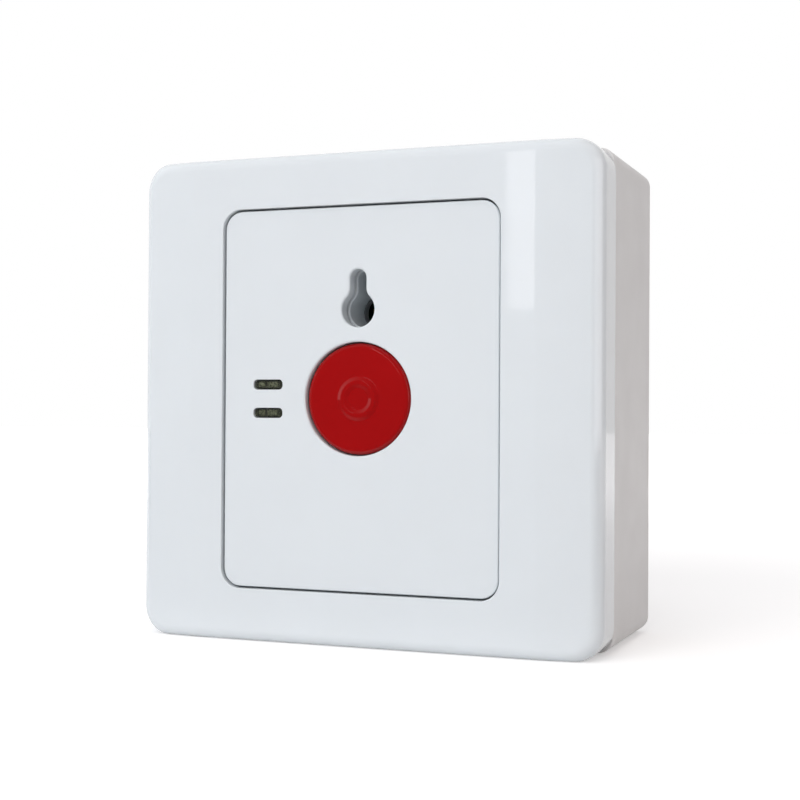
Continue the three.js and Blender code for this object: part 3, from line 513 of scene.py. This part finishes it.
def lacquer(middle_x, length):
    """A resistor's body: beige with colour bands across it."""
    made, tree, shader, place = material("resistor_lacquer", Coat_Weight=0.4)
    split = tree.nodes.new("ShaderNodeSeparateXYZ")
    tree.links.new(place, split.inputs["Vector"])
    along = tree.nodes.new("ShaderNodeMapRange")
    along.inputs["From Min"].default_value = (middle_x - length / 2) * MM
    along.inputs["From Max"].default_value = (middle_x + length / 2) * MM
    tree.links.new(split.outputs["X"], along.inputs["Value"])
    beige, brown = linear(206, 176, 128), linear(92, 50, 26)
    bands = [(0, beige), (0.1, brown), (0.17, beige), (0.3, linear(24, 22, 22)), (0.37, beige),
             (0.48, linear(178, 40, 30)), (0.55, beige), (0.8, linear(176, 140, 62)), (0.87, beige)]
    shades(tree, along.outputs["Result"], bands, shader.inputs["Base Color"]).interpolation = "CONSTANT"
    spread(tree, noise(tree, place, 0.8), 0.3, 0.5, shader.inputs["Roughness"])
    return made


# Faceplate frame
def fall(x):
    """How far the front lies behind its level middle, and its slope, at x."""
    reach_out = abs(x) - LEVEL_HALF
    if reach_out <= 0:
        return 0, 0
    outer = FRAME_HALF - LEVEL_HALF - CREASE
    edge_slope = 2 * (FRAME_FALL - CREASE_SLOPE * CREASE / 2) / outer - CREASE_SLOPE
    if reach_out < CREASE:
        slope = CREASE_SLOPE * reach_out / CREASE
        depth = slope * reach_out / 2
    else:
        beyond = reach_out - CREASE
        slope = CREASE_SLOPE + (edge_slope - CREASE_SLOPE) * beyond / outer
        depth = CREASE_SLOPE * CREASE / 2 + (CREASE_SLOPE + slope) / 2 * beyond
    return depth, math.copysign(slope, x)


def front_frame():
    skin = Skin()
    columns = [LEVEL_HALF + CREASE * k / 4 for k in range(5)] + FALL_COLUMNS
    wall_start_y, side_end_y = FRAME_REAR_Y - 4, FRAME_REAR_Y - 1
    ceiling_y = FRAME_FRONT_Y + FRAME_FRONT

    def edge_row(inset, tilt):
        """Points round the frame's edge. Tilt goes from 0 on the side to a
        quarter turn on the front."""
        half, corner = FRAME_HALF - inset, FRAME_CORNER - CORNER_SHARE * inset
        middle = half - corner
        shares = [x / middle for x in columns]
        shares = shares[::-1] + [0] + [-s for s in shares]
        ring = rounded(half, half, corner, steps=16, shares=shares)(0)
        drop = FRAME_EDGE * (1 - math.sin(tilt))
        points, normals = [], []
        for x, z, dx, dz in ring:
            depth, slope = fall(x)
            front = Vector((slope, -1, 0)).normalized()
            points.append((x, FRAME_FRONT_Y + drop + depth, z))
            normals.append(Vector((dx, 0, dz)) * math.cos(tilt) + front * math.sin(tilt))
        return points, normals

    # Sides, from the rear edge to the rounded front edge
    side = rounded(FRAME_HALF, FRAME_HALF, FRAME_CORNER, steps=16, shares=EIGHTHS)
    skin.sweep(profile([
        (-FRAME_WALL, wall_start_y), (-FRAME_WALL, FRAME_REAR_Y, 0.3), (0, FRAME_REAR_Y, 0.4),
        (0, side_end_y),
    ], 1, 4), side)
    points, normals = edge_row(0, 0)
    last = skin.row([(x, side_end_y, z) for x, _, z in points], normals)
    for k in range(EDGE_STEPS + 1):
        tilt = math.pi / 2 * k / EDGE_STEPS
        points, normals = edge_row(FRAME_EDGE * (1 - math.cos(tilt)), tilt)
        here = skin.row(points, normals)
        skin.strip(last, here)
        last = here
    # Outer parts of the front, in columns from the lower edge to the upper
    edge = [skin.points[i] for i in last]
    for sign in (1, -1):
        outer = sorted({round(abs(p.x), 5) for p in edge if p.x * sign > LEVEL_HALF - 1e-4}, reverse=True)
        previous = None
        for x in outer:
            ends = sorted((p for p in edge if abs(p.x - sign * x) < 1e-4), key=lambda p: p.z)
            slope = fall(sign * x)[1]
            here = skin.row([ends[0], ends[-1]], [(slope, -1, 0)] * 2)
            if previous:
                skin.face([previous[0], previous[1], here[1], here[0]])
            previous = here
    # Level middle, with the opening
    level = [p for p in edge if abs(p.x) <= LEVEL_HALF + 1e-4]
    upper = sorted((p for p in level if p.z > 0), key=lambda p: p.x)
    lower = sorted((p for p in level if p.z < 0), key=lambda p: -p.x)
    opening = rounded(OPEN_X, OPEN_Z, OPEN_CORNER, steps=14)
    open_front = LIP + EDGE
    skin.fill(FRAME_FRONT_Y, -1, [(p.x, p.z) for p in upper + lower], [opening(open_front)])
    skin.sweep(profile([
        (open_front, FRAME_FRONT_Y), (0, FRAME_FRONT_Y, LIP), (0, ceiling_y, EDGE), (OPEN_BACK, ceiling_y),
    ]), opening)
    # Inside of the front and the sides
    inner, inner_corner = FRAME_HALF - FRAME_WALL, FRAME_CORNER - CORNER_SHARE * FRAME_WALL
    round_opening = rounded(OPEN_X + OPEN_BACK, OPEN_Z + OPEN_BACK, OPEN_CORNER + OPEN_BACK,
                            steps=14, shares=EIGHTHS)(0)
    round_wall = rounded(inner, inner, inner_corner, steps=14, shares=EIGHTHS)(0)
    deep = ceiling_y + FRAME_EDGE / 2
    rearward = [(0, 1, 0)] * len(round_wall)
    inward = [(-dx, 0, -dz) for _, _, dx, dz in round_wall]
    wall_top = [(x, deep + fall(x)[0], z) for x, z, _, _ in round_wall]
    wall_start = [(x, wall_start_y, z) for x, z, _, _ in round_wall]
    ceiling = [(x, ceiling_y, z) for x, z, _, _ in round_opening]
    skin.strip(skin.row(ceiling, rearward), skin.row(wall_top, rearward))
    skin.strip(skin.row(wall_start, inward), skin.row(wall_top, inward))
    return skin


def snap_ridges(skin):
    """Four ridges inside the sides, which hook behind the yoke's rim."""
    inner = FRAME_HALF - FRAME_WALL
    depth = (RIDGE_FRONT_Y, RIDGE_FRONT_Y + RIDGE_DEPTH)
    along = (-RIDGE_LENGTH / 2, RIDGE_LENGTH / 2)
    for sign in (1, -1):
        across = (sign * (inner - RIDGE_REACH), sign * (inner + RIDGE_ROOT))
        skin.block(across, depth, along)
        skin.block(along, depth, across)


# Centre panel
def hole_edge(front, rear, flare, rear_flare=REAR_FLARE):
    """Profile of a hole's wall, with rounded edges at the front and rear."""
    return profile([
        (flare + FRONT_MARGIN, front), (0, front, flare),
        (0, rear, rear_flare), (rear_flare + REAR_MARGIN, rear),
    ])


def centre_panel():
    skin = Skin()
    outer = rounded(PANEL_X, PANEL_Z, PANEL_CORNER, steps=16)
    inset = PANEL_EDGE + EDGE
    skin.sweep(profile([
        (-inset, PANEL_REAR_Y), (0, PANEL_REAR_Y, EDGE),
        (0, PANEL_FRONT_Y, PANEL_EDGE), (-inset, PANEL_FRONT_Y),
    ]), outer)
    hole, key = circle(HOLE_RADIUS, steps=128), keyhole(0)
    windows = [rounded(*WINDOW, LIGHT_X, z, 8) for z in (LIGHT_Z, -LIGHT_Z)]
    boss = rounded(*LIGHT_BOSS[:2], LIGHT_BOSS_CORNER, LIGHT_X, 0, 6)
    boss_rear = PANEL_REAR_Y + LIGHT_BOSS[2]
    skin.sweep(hole_edge(PANEL_FRONT_Y, PANEL_REAR_Y, HOLE_FLARE), hole)
    skin.sweep(hole_edge(PANEL_FRONT_Y, PANEL_REAR_Y, KEY_FLARE), key)
    for window in windows:
        skin.sweep(hole_edge(PANEL_FRONT_Y, boss_rear, WINDOW_FLARE, WINDOW_REAR_FLARE), window)
    skin.sweep(profile([(0, PANEL_REAR_Y), (0, boss_rear, EDGE), (-LIGHT_BOSS_INSET, boss_rear)], -1), boss)
    window_rears = [window(WINDOW_REAR_FLARE + REAR_MARGIN) for window in windows]
    skin.fill(boss_rear, 1, boss(-LIGHT_BOSS_INSET), window_rears)
    front_holes = [hole(HOLE_FLARE + FRONT_MARGIN), key(KEY_FLARE + FRONT_MARGIN)]
    front_holes += [window(WINDOW_FLARE + FRONT_MARGIN) for window in windows]
    skin.fill(PANEL_FRONT_Y, -1, outer(-inset), front_holes)
    rear_ring = REAR_FLARE + REAR_MARGIN
    skin.fill(PANEL_REAR_Y, 1, outer(-inset), [hole(rear_ring), key(rear_ring), boss(0)])
    # Bosses for the housing's screws
    boss_end = BASE_FRONT_Y - BOSS_GAP
    for i in (1, 2, 3, 4):
        low, high = reach(f"housing_screw_{i}")
        x, z = (low.x + high.x) / 2, (low.z + high.z) / 2
        skin.turned([
            (BOSS_RADIUS, PANEL_REAR_Y - EDGE), (BOSS_RADIUS, boss_end, EDGE), (BOSS_BORE, boss_end, EDGE),
            (BOSS_BORE, boss_end - BORE_DEPTH), (0, boss_end - BORE_DEPTH),
        ], x, z, -1, 32, 3)
    # Snap legs
    legs_rear = reach("centre_panel")[1].y
    for sign in (1, -1):
        inner_x, outer_x = sign * (HOOK["outer"] - HOOK["thick"]), sign * HOOK["outer"]
        nose_x = sign * (HOOK["outer"] + HOOK["nose"])
        for z in (HOOK["z"], -HOOK["z"]):
            span = (z - HOOK["width"] / 2, z + HOOK["width"] / 2)
            skin.block((inner_x, outer_x), (PANEL_REAR_Y - HOOK["root"], legs_rear), span)
            skin.block((inner_x, nose_x), (legs_rear - HOOK["thick"], legs_rear), span)
    return skin


def key_guide():
    skin = Skin()
    low, high = reach("key_guide")
    front, rear = low.y, high.y
    outer = rounded((high.x - low.x) / 2, (high.z - low.z) / 2, GUIDE_CORNER, 0, (high.z + low.z) / 2, 12)
    bore = keyhole(GUIDE_INSET)
    rim = outer(-GUIDE_RIM)
    skin.sweep(profile([
        (-GUIDE_RIM, rear), (0, rear, EDGE), (0, front, GUIDE_EDGE), (-GUIDE_RIM, front),
    ], 1, 4), outer)
    skin.sweep(hole_edge(front, rear, GUIDE_FLARE), bore)
    skin.fill(front, -1, rim, [bore(GUIDE_FLARE + FRONT_MARGIN)])
    skin.fill(rear, 1, rim, [bore(REAR_FLARE + REAR_MARGIN)])
    return skin


def push_button():
    skin = Skin()
    low, high = reach("push_button")
    crest, rear = low.y - CAP_RISE, high.y
    face, ceiling = crest + RING_HEIGHT, low.y + CAP_WALL
    inner_foot, crest_from, crest_to, outer_foot = RING
    inner = CAP_RADIUS - CAP_WALL
    bore, socket = STEM_SOCKET
    socket_end = ceiling + (rear - ceiling) / 2
    skin.turned([
        (0, face), (inner_foot, face, DISH_BLEND), (crest_from, crest, RING_BLEND),
        (crest_to, crest, RING_BLEND), (outer_foot, face, RING_BLEND),
        (CAP_RADIUS, face, CAP_RIM), (CAP_RADIUS, rear, SKIRT_EDGE), (inner, rear, SKIRT_EDGE),
        (inner, ceiling, 0.4), (socket, ceiling, 0.3), (socket, socket_end, EDGE),
        (bore, socket_end, EDGE), (bore, ceiling, 0.1), (0, ceiling),
    ], 0, 0, -1, 128, 10)
    return skin


# Wall box
def surface_box():
    skin = Skin()
    outer = rounded(BOX_HALF, BOX_HALF, BOX_CORNER, steps=12)
    floor_y, floor_inset, rear_inset = -BOX_WALL, BOX_WALL + 1, BOX_REAR_EDGE + 0.3
    skin.sweep(profile([
        (-rear_inset, 0), (0, 0, BOX_REAR_EDGE), (0, BOX_FRONT_Y, BOX_RIM_EDGE),
        (-BOX_WALL, BOX_FRONT_Y, BOX_RIM_EDGE), (-BOX_WALL, floor_y, 0.6), (-floor_inset, floor_y),
    ], 1, 5), outer)
    entry_x, entry_z, entry_corner, entry_middle = ENTRY
    slot_x, slot_z, place_x, place_z = SLOT
    holes = [rounded(entry_x, entry_z, entry_corner, 0, entry_middle, 10)]
    for x in (place_x, -place_x):
        for z in (place_z, -place_z):
            holes.append(rounded(slot_x, slot_z, slot_z - 0.01, x, z, 10))
    for hole in holes:
        skin.sweep(hole_edge(floor_y, 0, BOX_HOLE_FLARE, BOX_HOLE_FLARE), hole)
    skin.fill(0, 1, outer(-rear_inset), [hole(BOX_HOLE_FLARE + REAR_MARGIN) for hole in holes])
    skin.fill(floor_y, -1, outer(-floor_inset), [hole(BOX_HOLE_FLARE + FRONT_MARGIN) for hole in holes])
    boss, recess, bore = FIXING
    seat, root = BOX_FRONT_Y + FIXING_SEAT, floor_y + FIXING_ROOT
    for sign in (1, -1):
        x = sign * FIXING_X
        skin.turned([
            (boss, root), (boss, BOX_FRONT_Y, 0.25), (recess, BOX_FRONT_Y, 0.15), (recess, seat),
            (bore, seat), (bore, FIXING_END_Y), (0, FIXING_END_Y),
        ], x, 0, 1, 48, 3)
        across = (x + sign * (boss - RIB_OVERLAP), sign * (BOX_HALF - 1))
        skin.block(across, (BOX_FRONT_Y, root), (-RIB_HALF, RIB_HALF), 0.25)
    return skin


# Springs
def coil(node, radius, wire, turns, axis):
    """A coil spring with closed ends, in the place of its CAD node. Its axis is
    1 for Y and 2 for Z."""
    low, high = reach(node)
    middle = (low + high) / 2
    start, end = low[axis] + wire / 2, high[axis] - wire / 2
    across = (middle.x, middle.z if axis == 1 else middle.y)

    def place(a, b, rise):
        return Vector((a, rise, b) if axis == 1 else (a, b, rise))

    skin = Skin()
    steps = turns * COIL_STEPS
    centres = []
    for i in range(steps + 1):
        share = i / steps
        # The first and last turns lie nearly flat
        eased = share - END_EASE * math.sin(2 * math.pi * share) / (2 * math.pi)
        angle = share * turns * 2 * math.pi
        rise = start + (end - start) * eased
        a, b = across[0] + radius * math.cos(angle), across[1] + radius * math.sin(angle)
        centres.append(place(a, b, rise))
    angles = [2 * math.pi * k / WIRE_SIDES for k in range(WIRE_SIDES)]
    last = None
    for i, centre in enumerate(centres):
        along = (centres[min(i + 1, steps)] - centres[max(i - 1, 0)]).normalized()
        out = (centre - place(*across, centre[axis])).normalized()
        up = along.cross(out).normalized()
        normals = [out * math.cos(t) + up * math.sin(t) for t in angles]
        ring = [centre + n * wire / 2 for n in normals]
        here = skin.row(ring, normals)
        if last:
            skin.strip(last, here)
        else:
            skin.face(skin.row(ring, [-along] * WIRE_SIDES))
        last = here
    skin.face(skin.row(ring, [along] * WIRE_SIDES))
    return skin


# Indicator lights
def indicator_light(node):
    """The clear body of a light, with its flange, and the metal inside and behind it."""
    low, high = reach(node)
    z = (low.z + high.z) / 2
    front, flange = low.y, low.y + LIGHT_LENGTH
    flange_rear = flange + FLANGE_DEPTH
    body = Skin()
    outline = rounded(WINDOW[0] - LIGHT_GAP, WINDOW[1] - LIGHT_GAP, LIGHT_CORNER, LIGHT_X, z, 6)
    body.sweep(profile([
        (-FACE_RIM, front), (0, front, 0.15), (0, flange), (FLANGE_REACH, flange),
        (FLANGE_REACH, flange_rear, 0.1), (-FACE_RIM, flange_rear),
    ], -1, 3), outline)
    body.fill(front, -1, outline(-FACE_RIM))
    body.fill(flange_rear, 1, outline(-FACE_RIM))
    leads = Skin()
    for left, right, near, far, half, edge, steps in LIGHT_METAL:
        across, depth = (LIGHT_X + left, LIGHT_X + right), (front + near, front + far)
        leads.block(across, depth, (z - half, z + half), edge, steps)
    half = LEG["half"]
    for x in (LIGHT_X - LEG["x"], LIGHT_X + LEG["x"]):
        leads.block((x - half, x + half), (front + LEG["start"], high.y), (z - half, z + half), LEG["edge"])
    return body, leads


# Circuit board
PADS = {
    "led_a": (-18.37, 2.5), "led_b": (-15.83, 2.5), "led_c": (-18.37, -2.5), "led_d": (-15.83, -2.5),
    "switch_1": (-11.2, 0), "switch_2": (-6.2, 0), "switch_3": (-1.2, 0),
    "res_1a": (4.5, -9), "res_1b": (14.5, -9), "res_2a": (4.5, -13.5), "res_2b": (14.5, -13.5),
    "pole_1": (-7.5, 17), "pole_2": (-2.5, 17), "pole_3": (2.5, 17), "pole_4": (7.5, 17),
}
TRACES = [
    ["led_a", (-18.37, 9), (-12.5, 13.5), (-9, 13.5), "pole_1"],
    ["led_b", (-15.83, 5), (-8, 10.5), (-3.6, 10.5), "pole_2"],
    ["led_c", (-18.37, -8), (-13, -16), (2, -16), "res_2a"],
    ["led_d", (-15.83, -6.5), (-11.5, -10.8), (2.2, -10.8), "res_1a"],
    ["switch_1", (-11.2, 6), (-7.5, 9), (-5.2, 12), "pole_2"],
    ["switch_2", (-6.2, 5), (2.5, 11), "pole_3"],
    ["switch_3", (4, 4.4), (7.5, 8), "pole_4"],
    ["res_1b", (17.2, -6), (17.2, 8), (11, 14), "pole_4"],
    ["res_2b", (18.6, -9.5), (18.6, 10), (12.5, 17), "pole_4"],
]


def board_traces():
    skin = Skin()
    y = BOARD_REAR_Y + TRACE_HEIGHT
    for trace in TRACES:
        path = [Vector(PADS[p] if isinstance(p, str) else p) for p in trace]
        for a, b in zip(path, path[1:]):
            across = (b - a).normalized().orthogonal() * TRACE_HALF
            corners = [a + across, b + across, b - across, a - across]
            skin.face(skin.row([(p.x, y, p.y) for p in corners], [(0, 1, 0)] * 4))
        for p in path:
            skin.fill(y, 1, circle(TRACE_HALF, p.x, p.y, 12)(0))
    return skin


def solder_joints():
    skin = Skin()
    corners = [(radius, BOARD_REAR_Y + height, *rounding) for radius, height, *rounding in SOLDER]
    for x, z in PADS.values():
        skin.turned(corners, x, z, -1, 24, 3)
    return skin


def resistor(node):
    """The body of a resistor, and its two wires, bent down to the board."""
    low, high = reach(node)
    middle = (low + high) / 2
    axis_y = low.y + RESISTOR_RADIUS
    lay = Matrix.Translation((middle.x, axis_y, middle.z)) @ Matrix.Rotation(math.radians(-90), 4, "Z")
    body = Skin()
    body.turned(RESISTOR, 0, 0, -1, 32, 4, lay)
    leads = Skin()
    angles = [2 * math.pi * i / BEND_SIDES for i in range(BEND_SIDES)]
    for sign in (1, -1):
        x = middle.x + sign * WIRE_PLACE
        straight = [(WIRE_RADIUS, WIRE_START * sign), (WIRE_RADIUS, WIRE_END * sign)]
        leads.turned(straight, 0, 0, -sign, 16, 1, lay)
        last = None
        for k in range(BEND_STEPS + 1):
            angle = math.pi / 2 * k / BEND_STEPS
            centre = Vector((
                x - sign * WIRE_BEND * (1 - math.sin(angle)),
                axis_y + WIRE_BEND * (1 - math.cos(angle)),
                middle.z,
            ))
            out = Vector((sign * math.sin(angle), -math.cos(angle), 0))
            normals = [out * math.cos(t) + Vector((0, 0, math.sin(t))) for t in angles]
            here = leads.row([centre + n * WIRE_RADIUS for n in normals], normals)
            if last:
                leads.strip(last, here)
            last = here
        end = [(WIRE_RADIUS, axis_y + WIRE_BEND), (WIRE_RADIUS, high.y, 0.1), (0, high.y)]
        leads.turned(end, x, middle.z, -1, 16, 2)
    return body, leads


# Pieces
frame_skin = front_frame()
snap_ridges(frame_skin)
frame_skin.build("faceplate_frame", white, "white_plastic", replaces=["front_frame"])
centre_panel().build("faceplate_panel", white, "white_plastic", replaces=["centre_panel"])
key_guide().build("keyhole_guide", white, "white_plastic", replaces=["key_guide"])
push_button().build("button_cap", red, "red_plastic", "button", ["push_button"])
surface_box().build("wall_box", box_white, "box_plastic", replaces=["surface_box"])

spring = coil("return_spring", 5.2, 0.7, 4, 1).build(
    "button_spring", spring_steel, "spring_steel", replaces=["return_spring"])
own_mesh(spring)
spring = coil("latch_spring", 1.5, 0.35, 3, 2).build(
    "latch_return_spring", spring_steel, "spring_steel", replaces=["latch_spring"])
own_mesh(spring)

clear, light_metal = epoxy(), lead_frame()
for node in ("led_upper", "led_lower"):
    body, leads = indicator_light(node)
    body.build(f"{node}_body", clear, "clear_epoxy", replaces=[node])
    leads.build(f"{node}_lead_frame", light_metal, "clear_epoxy")

low, high = reach("resistor_1")
lacquered = lacquer((low.x + high.x) / 2, RESISTOR_LENGTH)
for node in ("resistor_1", "resistor_2"):
    body, leads = resistor(node)
    body.build(f"{node}_body", lacquered, "resistor_lacquer", replaces=[node])
    leads.build(f"{node}_leads", tin, "plated_steel")

masked = laminate()
copper = plastic("masked_copper", linear(44, 128, 78), (0.3, 0.4), 0.6, 0.002)
board_traces().build("board_traces", copper, "board_laminate")
solder_joints().build("solder_joints", tin, "plated_steel")


# CAD nodes that stay: finer edges and their real materials
def soften(node, width):
    piece = frame["nodes"][node]
    for attribute in ("custom_normal", "sharp_edge", "sharp_face"):
        if attribute in piece.data.attributes:
            piece.data.attributes.remove(piece.data.attributes[attribute])
    piece.data.shade_smooth()
    weld = piece.modifiers.new("weld", "WELD")
    weld.merge_threshold = 1e-6
    bevel = piece.modifiers.new("bevel", "BEVEL")
    bevel.width = width * MM
    bevel.segments = 2
    bevel.limit_method = "ANGLE"
    bevel.angle_limit = math.radians(38)
    bevel.harden_normals = True


KEPT = {
    "mounting_yoke": (yoke_white, 0.2), "switch_housing": (grey, 0.12), "button_stem": (black, 0.1),
    "latch_slide": (steel, 0.08), "micro_switch": (black, 0.12), "switch_lever": (steel, 0.05),
    "lever_pin": (steel, 0.05), "switch_plunger": (red, 0.06), "circuit_board": (masked, 0.08),
    "terminal_block": (blue, 0.15), "insert_left": (brass, 0.15), "insert_right": (brass, 0.15),
    "mounting_screw_left": (steel, 0.1), "mounting_screw_right": (steel, 0.1),
    **{f"switch_terminal_{i}": (brass, 0.05) for i in (1, 2, 3)},
}
for i in (1, 2, 3, 4):
    KEPT[f"terminal_clamp_{i}"] = (brass, 0.06)
    for kind in ("terminal_screw", "housing_screw", "board_screw"):
        KEPT[f"{kind}_{i}"] = (steel, 0.06)
for node, (look, width) in KEPT.items():
    soften(node, width)
    frame["nodes"][node].data.materials.clear()
    frame["nodes"][node].data.materials.append(look)


# Stage, light and camera, in metres
ROOM = 0.1  # brightness of the room in front, as glossy surfaces show it
ROOM_REACH = (-0.8, 0)  # Y of the directions between which the room turns white
SOFT_LIGHT = 0.54
LAMP_WATTS = 4  # energy of a lamp for one unit of radiance from a square metre
SIDE_TINTS = [(0.1, (0.91, 0.93, 1)), (0.35, (0.97, 0.985, 1)), (0.9, (0.86, 0.76, 0.73))]
FLOOR_HALF = 2.5
FLOOR_TONES = [(0.3, (0.86, 0.86, 0.86)), (0.7, (0.88, 0.88, 0.88))]
FADE_REACH, FADE_GLOW = (0.08, 0.6), (0.36, 0.95)  # distances from the object, and the floor's glow there
AHEAD_REACH = (-0.09, -0.03)  # where the floor in front turns dim for glossy surfaces
VIEW_ANGLES = (21.26, 0.457, 0.324)  # yaw, pitch and roll in degrees
VIEW_PLACE = (0.09718, -0.26869, -0.00213)
SENSOR_WIDTH, LENS_LENGTH = 36, 64.99


def larger(tree, first, second):
    node = tree.nodes.new("ShaderNodeMath")
    node.operation = "MAXIMUM"
    tree.links.new(first, node.inputs[0])
    tree.links.new(second, node.inputs[1])
    return node.outputs[0]


def mixed(tree, share, first, second):
    node = tree.nodes.new("ShaderNodeMixShader")
    for source, socket in zip((share, first, second), node.inputs):
        tree.links.new(source, socket)
    return node.outputs[0]


def ramp(tree, source, reach_in, values):
    """Maps a value between two bounds, smoothly."""
    node = tree.nodes.new("ShaderNodeMapRange")
    node.interpolation_type = "SMOOTHSTEP"
    for socket, value in zip(list(node.inputs)[1:5], (*reach_in, *values)):
        socket.default_value = value
    tree.links.new(source, node.inputs["Value"])
    return node.outputs["Result"]


def floor():
    """A pale floor. To the camera it fades to white away from the object, and
    to glossy surfaces it fades to the dim room in front of them."""
    mesh = bpy.data.meshes.new("floor")
    half, height = FLOOR_HALF, -FRAME_HALF * MM
    corners = [(x * half, y * half, height) for x, y in ((-1, -1), (1, -1), (1, 1), (-1, 1))]
    mesh.from_pydata(corners, [], [(0, 1, 2, 3)])
    piece = bpy.data.objects.new("floor", mesh)
    bpy.context.scene.collection.objects.link(piece)
    made, tree, shader, place = material("pale_floor", Roughness=0.9)
    shader.inputs["Specular IOR Level"].default_value = 0.1
    shades(tree, noise(tree, place, 400), FLOOR_TONES, shader.inputs["Base Color"])
    length = tree.nodes.new("ShaderNodeVectorMath")
    length.operation = "LENGTH"
    tree.links.new(place, length.inputs[0])
    glow, dim = tree.nodes.new("ShaderNodeEmission"), tree.nodes.new("ShaderNodeEmission")
    tree.links.new(ramp(tree, length.outputs["Value"], FADE_REACH, FADE_GLOW), glow.inputs["Strength"])
    dim.inputs["Strength"].default_value = ROOM
    lit = tree.nodes.new("ShaderNodeAddShader")
    tree.links.new(shader.outputs[0], lit.inputs[0])
    tree.links.new(glow.outputs[0], lit.inputs[1])
    path = tree.nodes.new("ShaderNodeLightPath").outputs
    white_rays = larger(tree, path["Is Camera Ray"], path["Is Transmission Ray"])
    seen = mixed(tree, larger(tree, white_rays, path["Is Glossy Ray"]), shader.outputs[0], lit.outputs[0])
    split = tree.nodes.new("ShaderNodeSeparateXYZ")
    tree.links.new(place, split.inputs[0])
    ahead = tree.nodes.new("ShaderNodeMath")
    ahead.operation = "MULTIPLY"
    tree.links.new(ramp(tree, split.outputs["Y"], AHEAD_REACH, (1, 0)), ahead.inputs[0])
    tree.links.new(path["Is Glossy Ray"], ahead.inputs[1])
    surface = mixed(tree, ahead.outputs[0], seen, dim.outputs[0])
    tree.links.new(surface, tree.nodes["Material Output"].inputs["Surface"])
    mesh.materials.append(made)


def world():
    """Soft light all round. The camera sees it white, and so do glossy
    surfaces, except for the dim room in front of the object."""
    made = bpy.data.worlds.new("studio")
    bpy.context.scene.world = made
    made.use_nodes = True
    tree = made.node_tree
    soft = tree.nodes["Background"]
    soft.inputs["Strength"].default_value = SOFT_LIGHT
    backdrop = tree.nodes.new("ShaderNodeBackground")
    backdrop.inputs["Color"].default_value = (1, 1, 1, 1)
    path = tree.nodes.new("ShaderNodeLightPath").outputs
    white_rays = larger(tree, path["Is Camera Ray"], path["Is Transmission Ray"])
    split = tree.nodes.new("ShaderNodeSeparateXYZ")
    tree.links.new(tree.nodes.new("ShaderNodeTexCoord").outputs["Generated"], split.inputs[0])
    sideways = ramp(tree, split.outputs["X"], (-1, 1), (0, 1))
    shades(tree, sideways, SIDE_TINTS, soft.inputs["Color"])
    room = ramp(tree, split.outputs["Y"], ROOM_REACH, (ROOM, 1))
    tree.links.new(larger(tree, white_rays, room), backdrop.inputs["Strength"])
    rays = larger(tree, white_rays, path["Is Glossy Ray"])
    surface = mixed(tree, rays, soft.outputs[0], backdrop.outputs[0])
    tree.links.new(surface, tree.nodes["World Output"].inputs["Surface"])


def softbox(name, azimuth, elevation, distance, size, radiance, color=(1, 1, 1), lit=True, mirrored=True):
    """A rectangular light that faces the object. Azimuth 0 is in front of it,
    90 on its right. Size and distance are in metres. It can be left out of
    what lights the object, or of what glossy surfaces mirror."""
    light = bpy.data.lights.new(name, "AREA")
    light.shape = "RECTANGLE"
    light.size, light.size_y = size
    light.energy = radiance * size[0] * size[1] * LAMP_WATTS
    light.color = color
    piece = bpy.data.objects.new(name, light)
    piece.visible_diffuse, piece.visible_glossy = lit, mirrored
    a, e = math.radians(azimuth), math.radians(elevation)
    out = Vector((math.sin(a) * math.cos(e), -math.cos(a) * math.cos(e), math.sin(e)))
    piece.location = out * distance
    piece.rotation_mode = "QUATERNION"
    piece.rotation_quaternion = out.to_track_quat("Z", "Y")
    bpy.context.scene.collection.objects.link(piece)


def camera():
    """At the photograph's viewing angle: right of the front and level with it."""
    yaw, pitch, roll = (math.radians(a) for a in VIEW_ANGLES)
    ahead = Vector((-math.sin(yaw) * math.cos(pitch), math.cos(yaw) * math.cos(pitch), math.sin(pitch)))
    right = Vector((math.cos(yaw), math.sin(yaw), 0))
    up = right.cross(ahead)
    rolled = right * math.cos(roll) + up * math.sin(roll)
    upright = up * math.cos(roll) - right * math.sin(roll)
    lens = bpy.data.cameras.new("camera")
    lens.sensor_width = SENSOR_WIDTH
    lens.lens = LENS_LENGTH
    lens.clip_start = 0.01
    piece = bpy.data.objects.new("camera", lens)
    turned = Matrix((rolled, upright, -ahead)).transposed().to_4x4()
    piece.matrix_world = Matrix.Translation(VIEW_PLACE) @ turned
    bpy.context.scene.collection.objects.link(piece)
    bpy.context.scene.camera = piece


floor()
world()
softbox("key", -10, 23, 1.2, (0.9, 0.9), 2.04, (1, 0.99, 0.985), mirrored=False)
softbox("overhead", -10, 72, 1.2, (1, 0.8), 0.85, mirrored=False)
softbox("strip", -14.15, 21.1, 1.3, (0.058, 0.77), 1.75, (1, 0.97, 1))
softbox("edge_strip", 72, 8, 1.3, (1.3, 1.2), 1.5, (0.99, 0.98, 1), lit=False)
camera()
bpy.context.scene.view_settings.view_transform = "Standard"

bpy.context.view_layer.update()
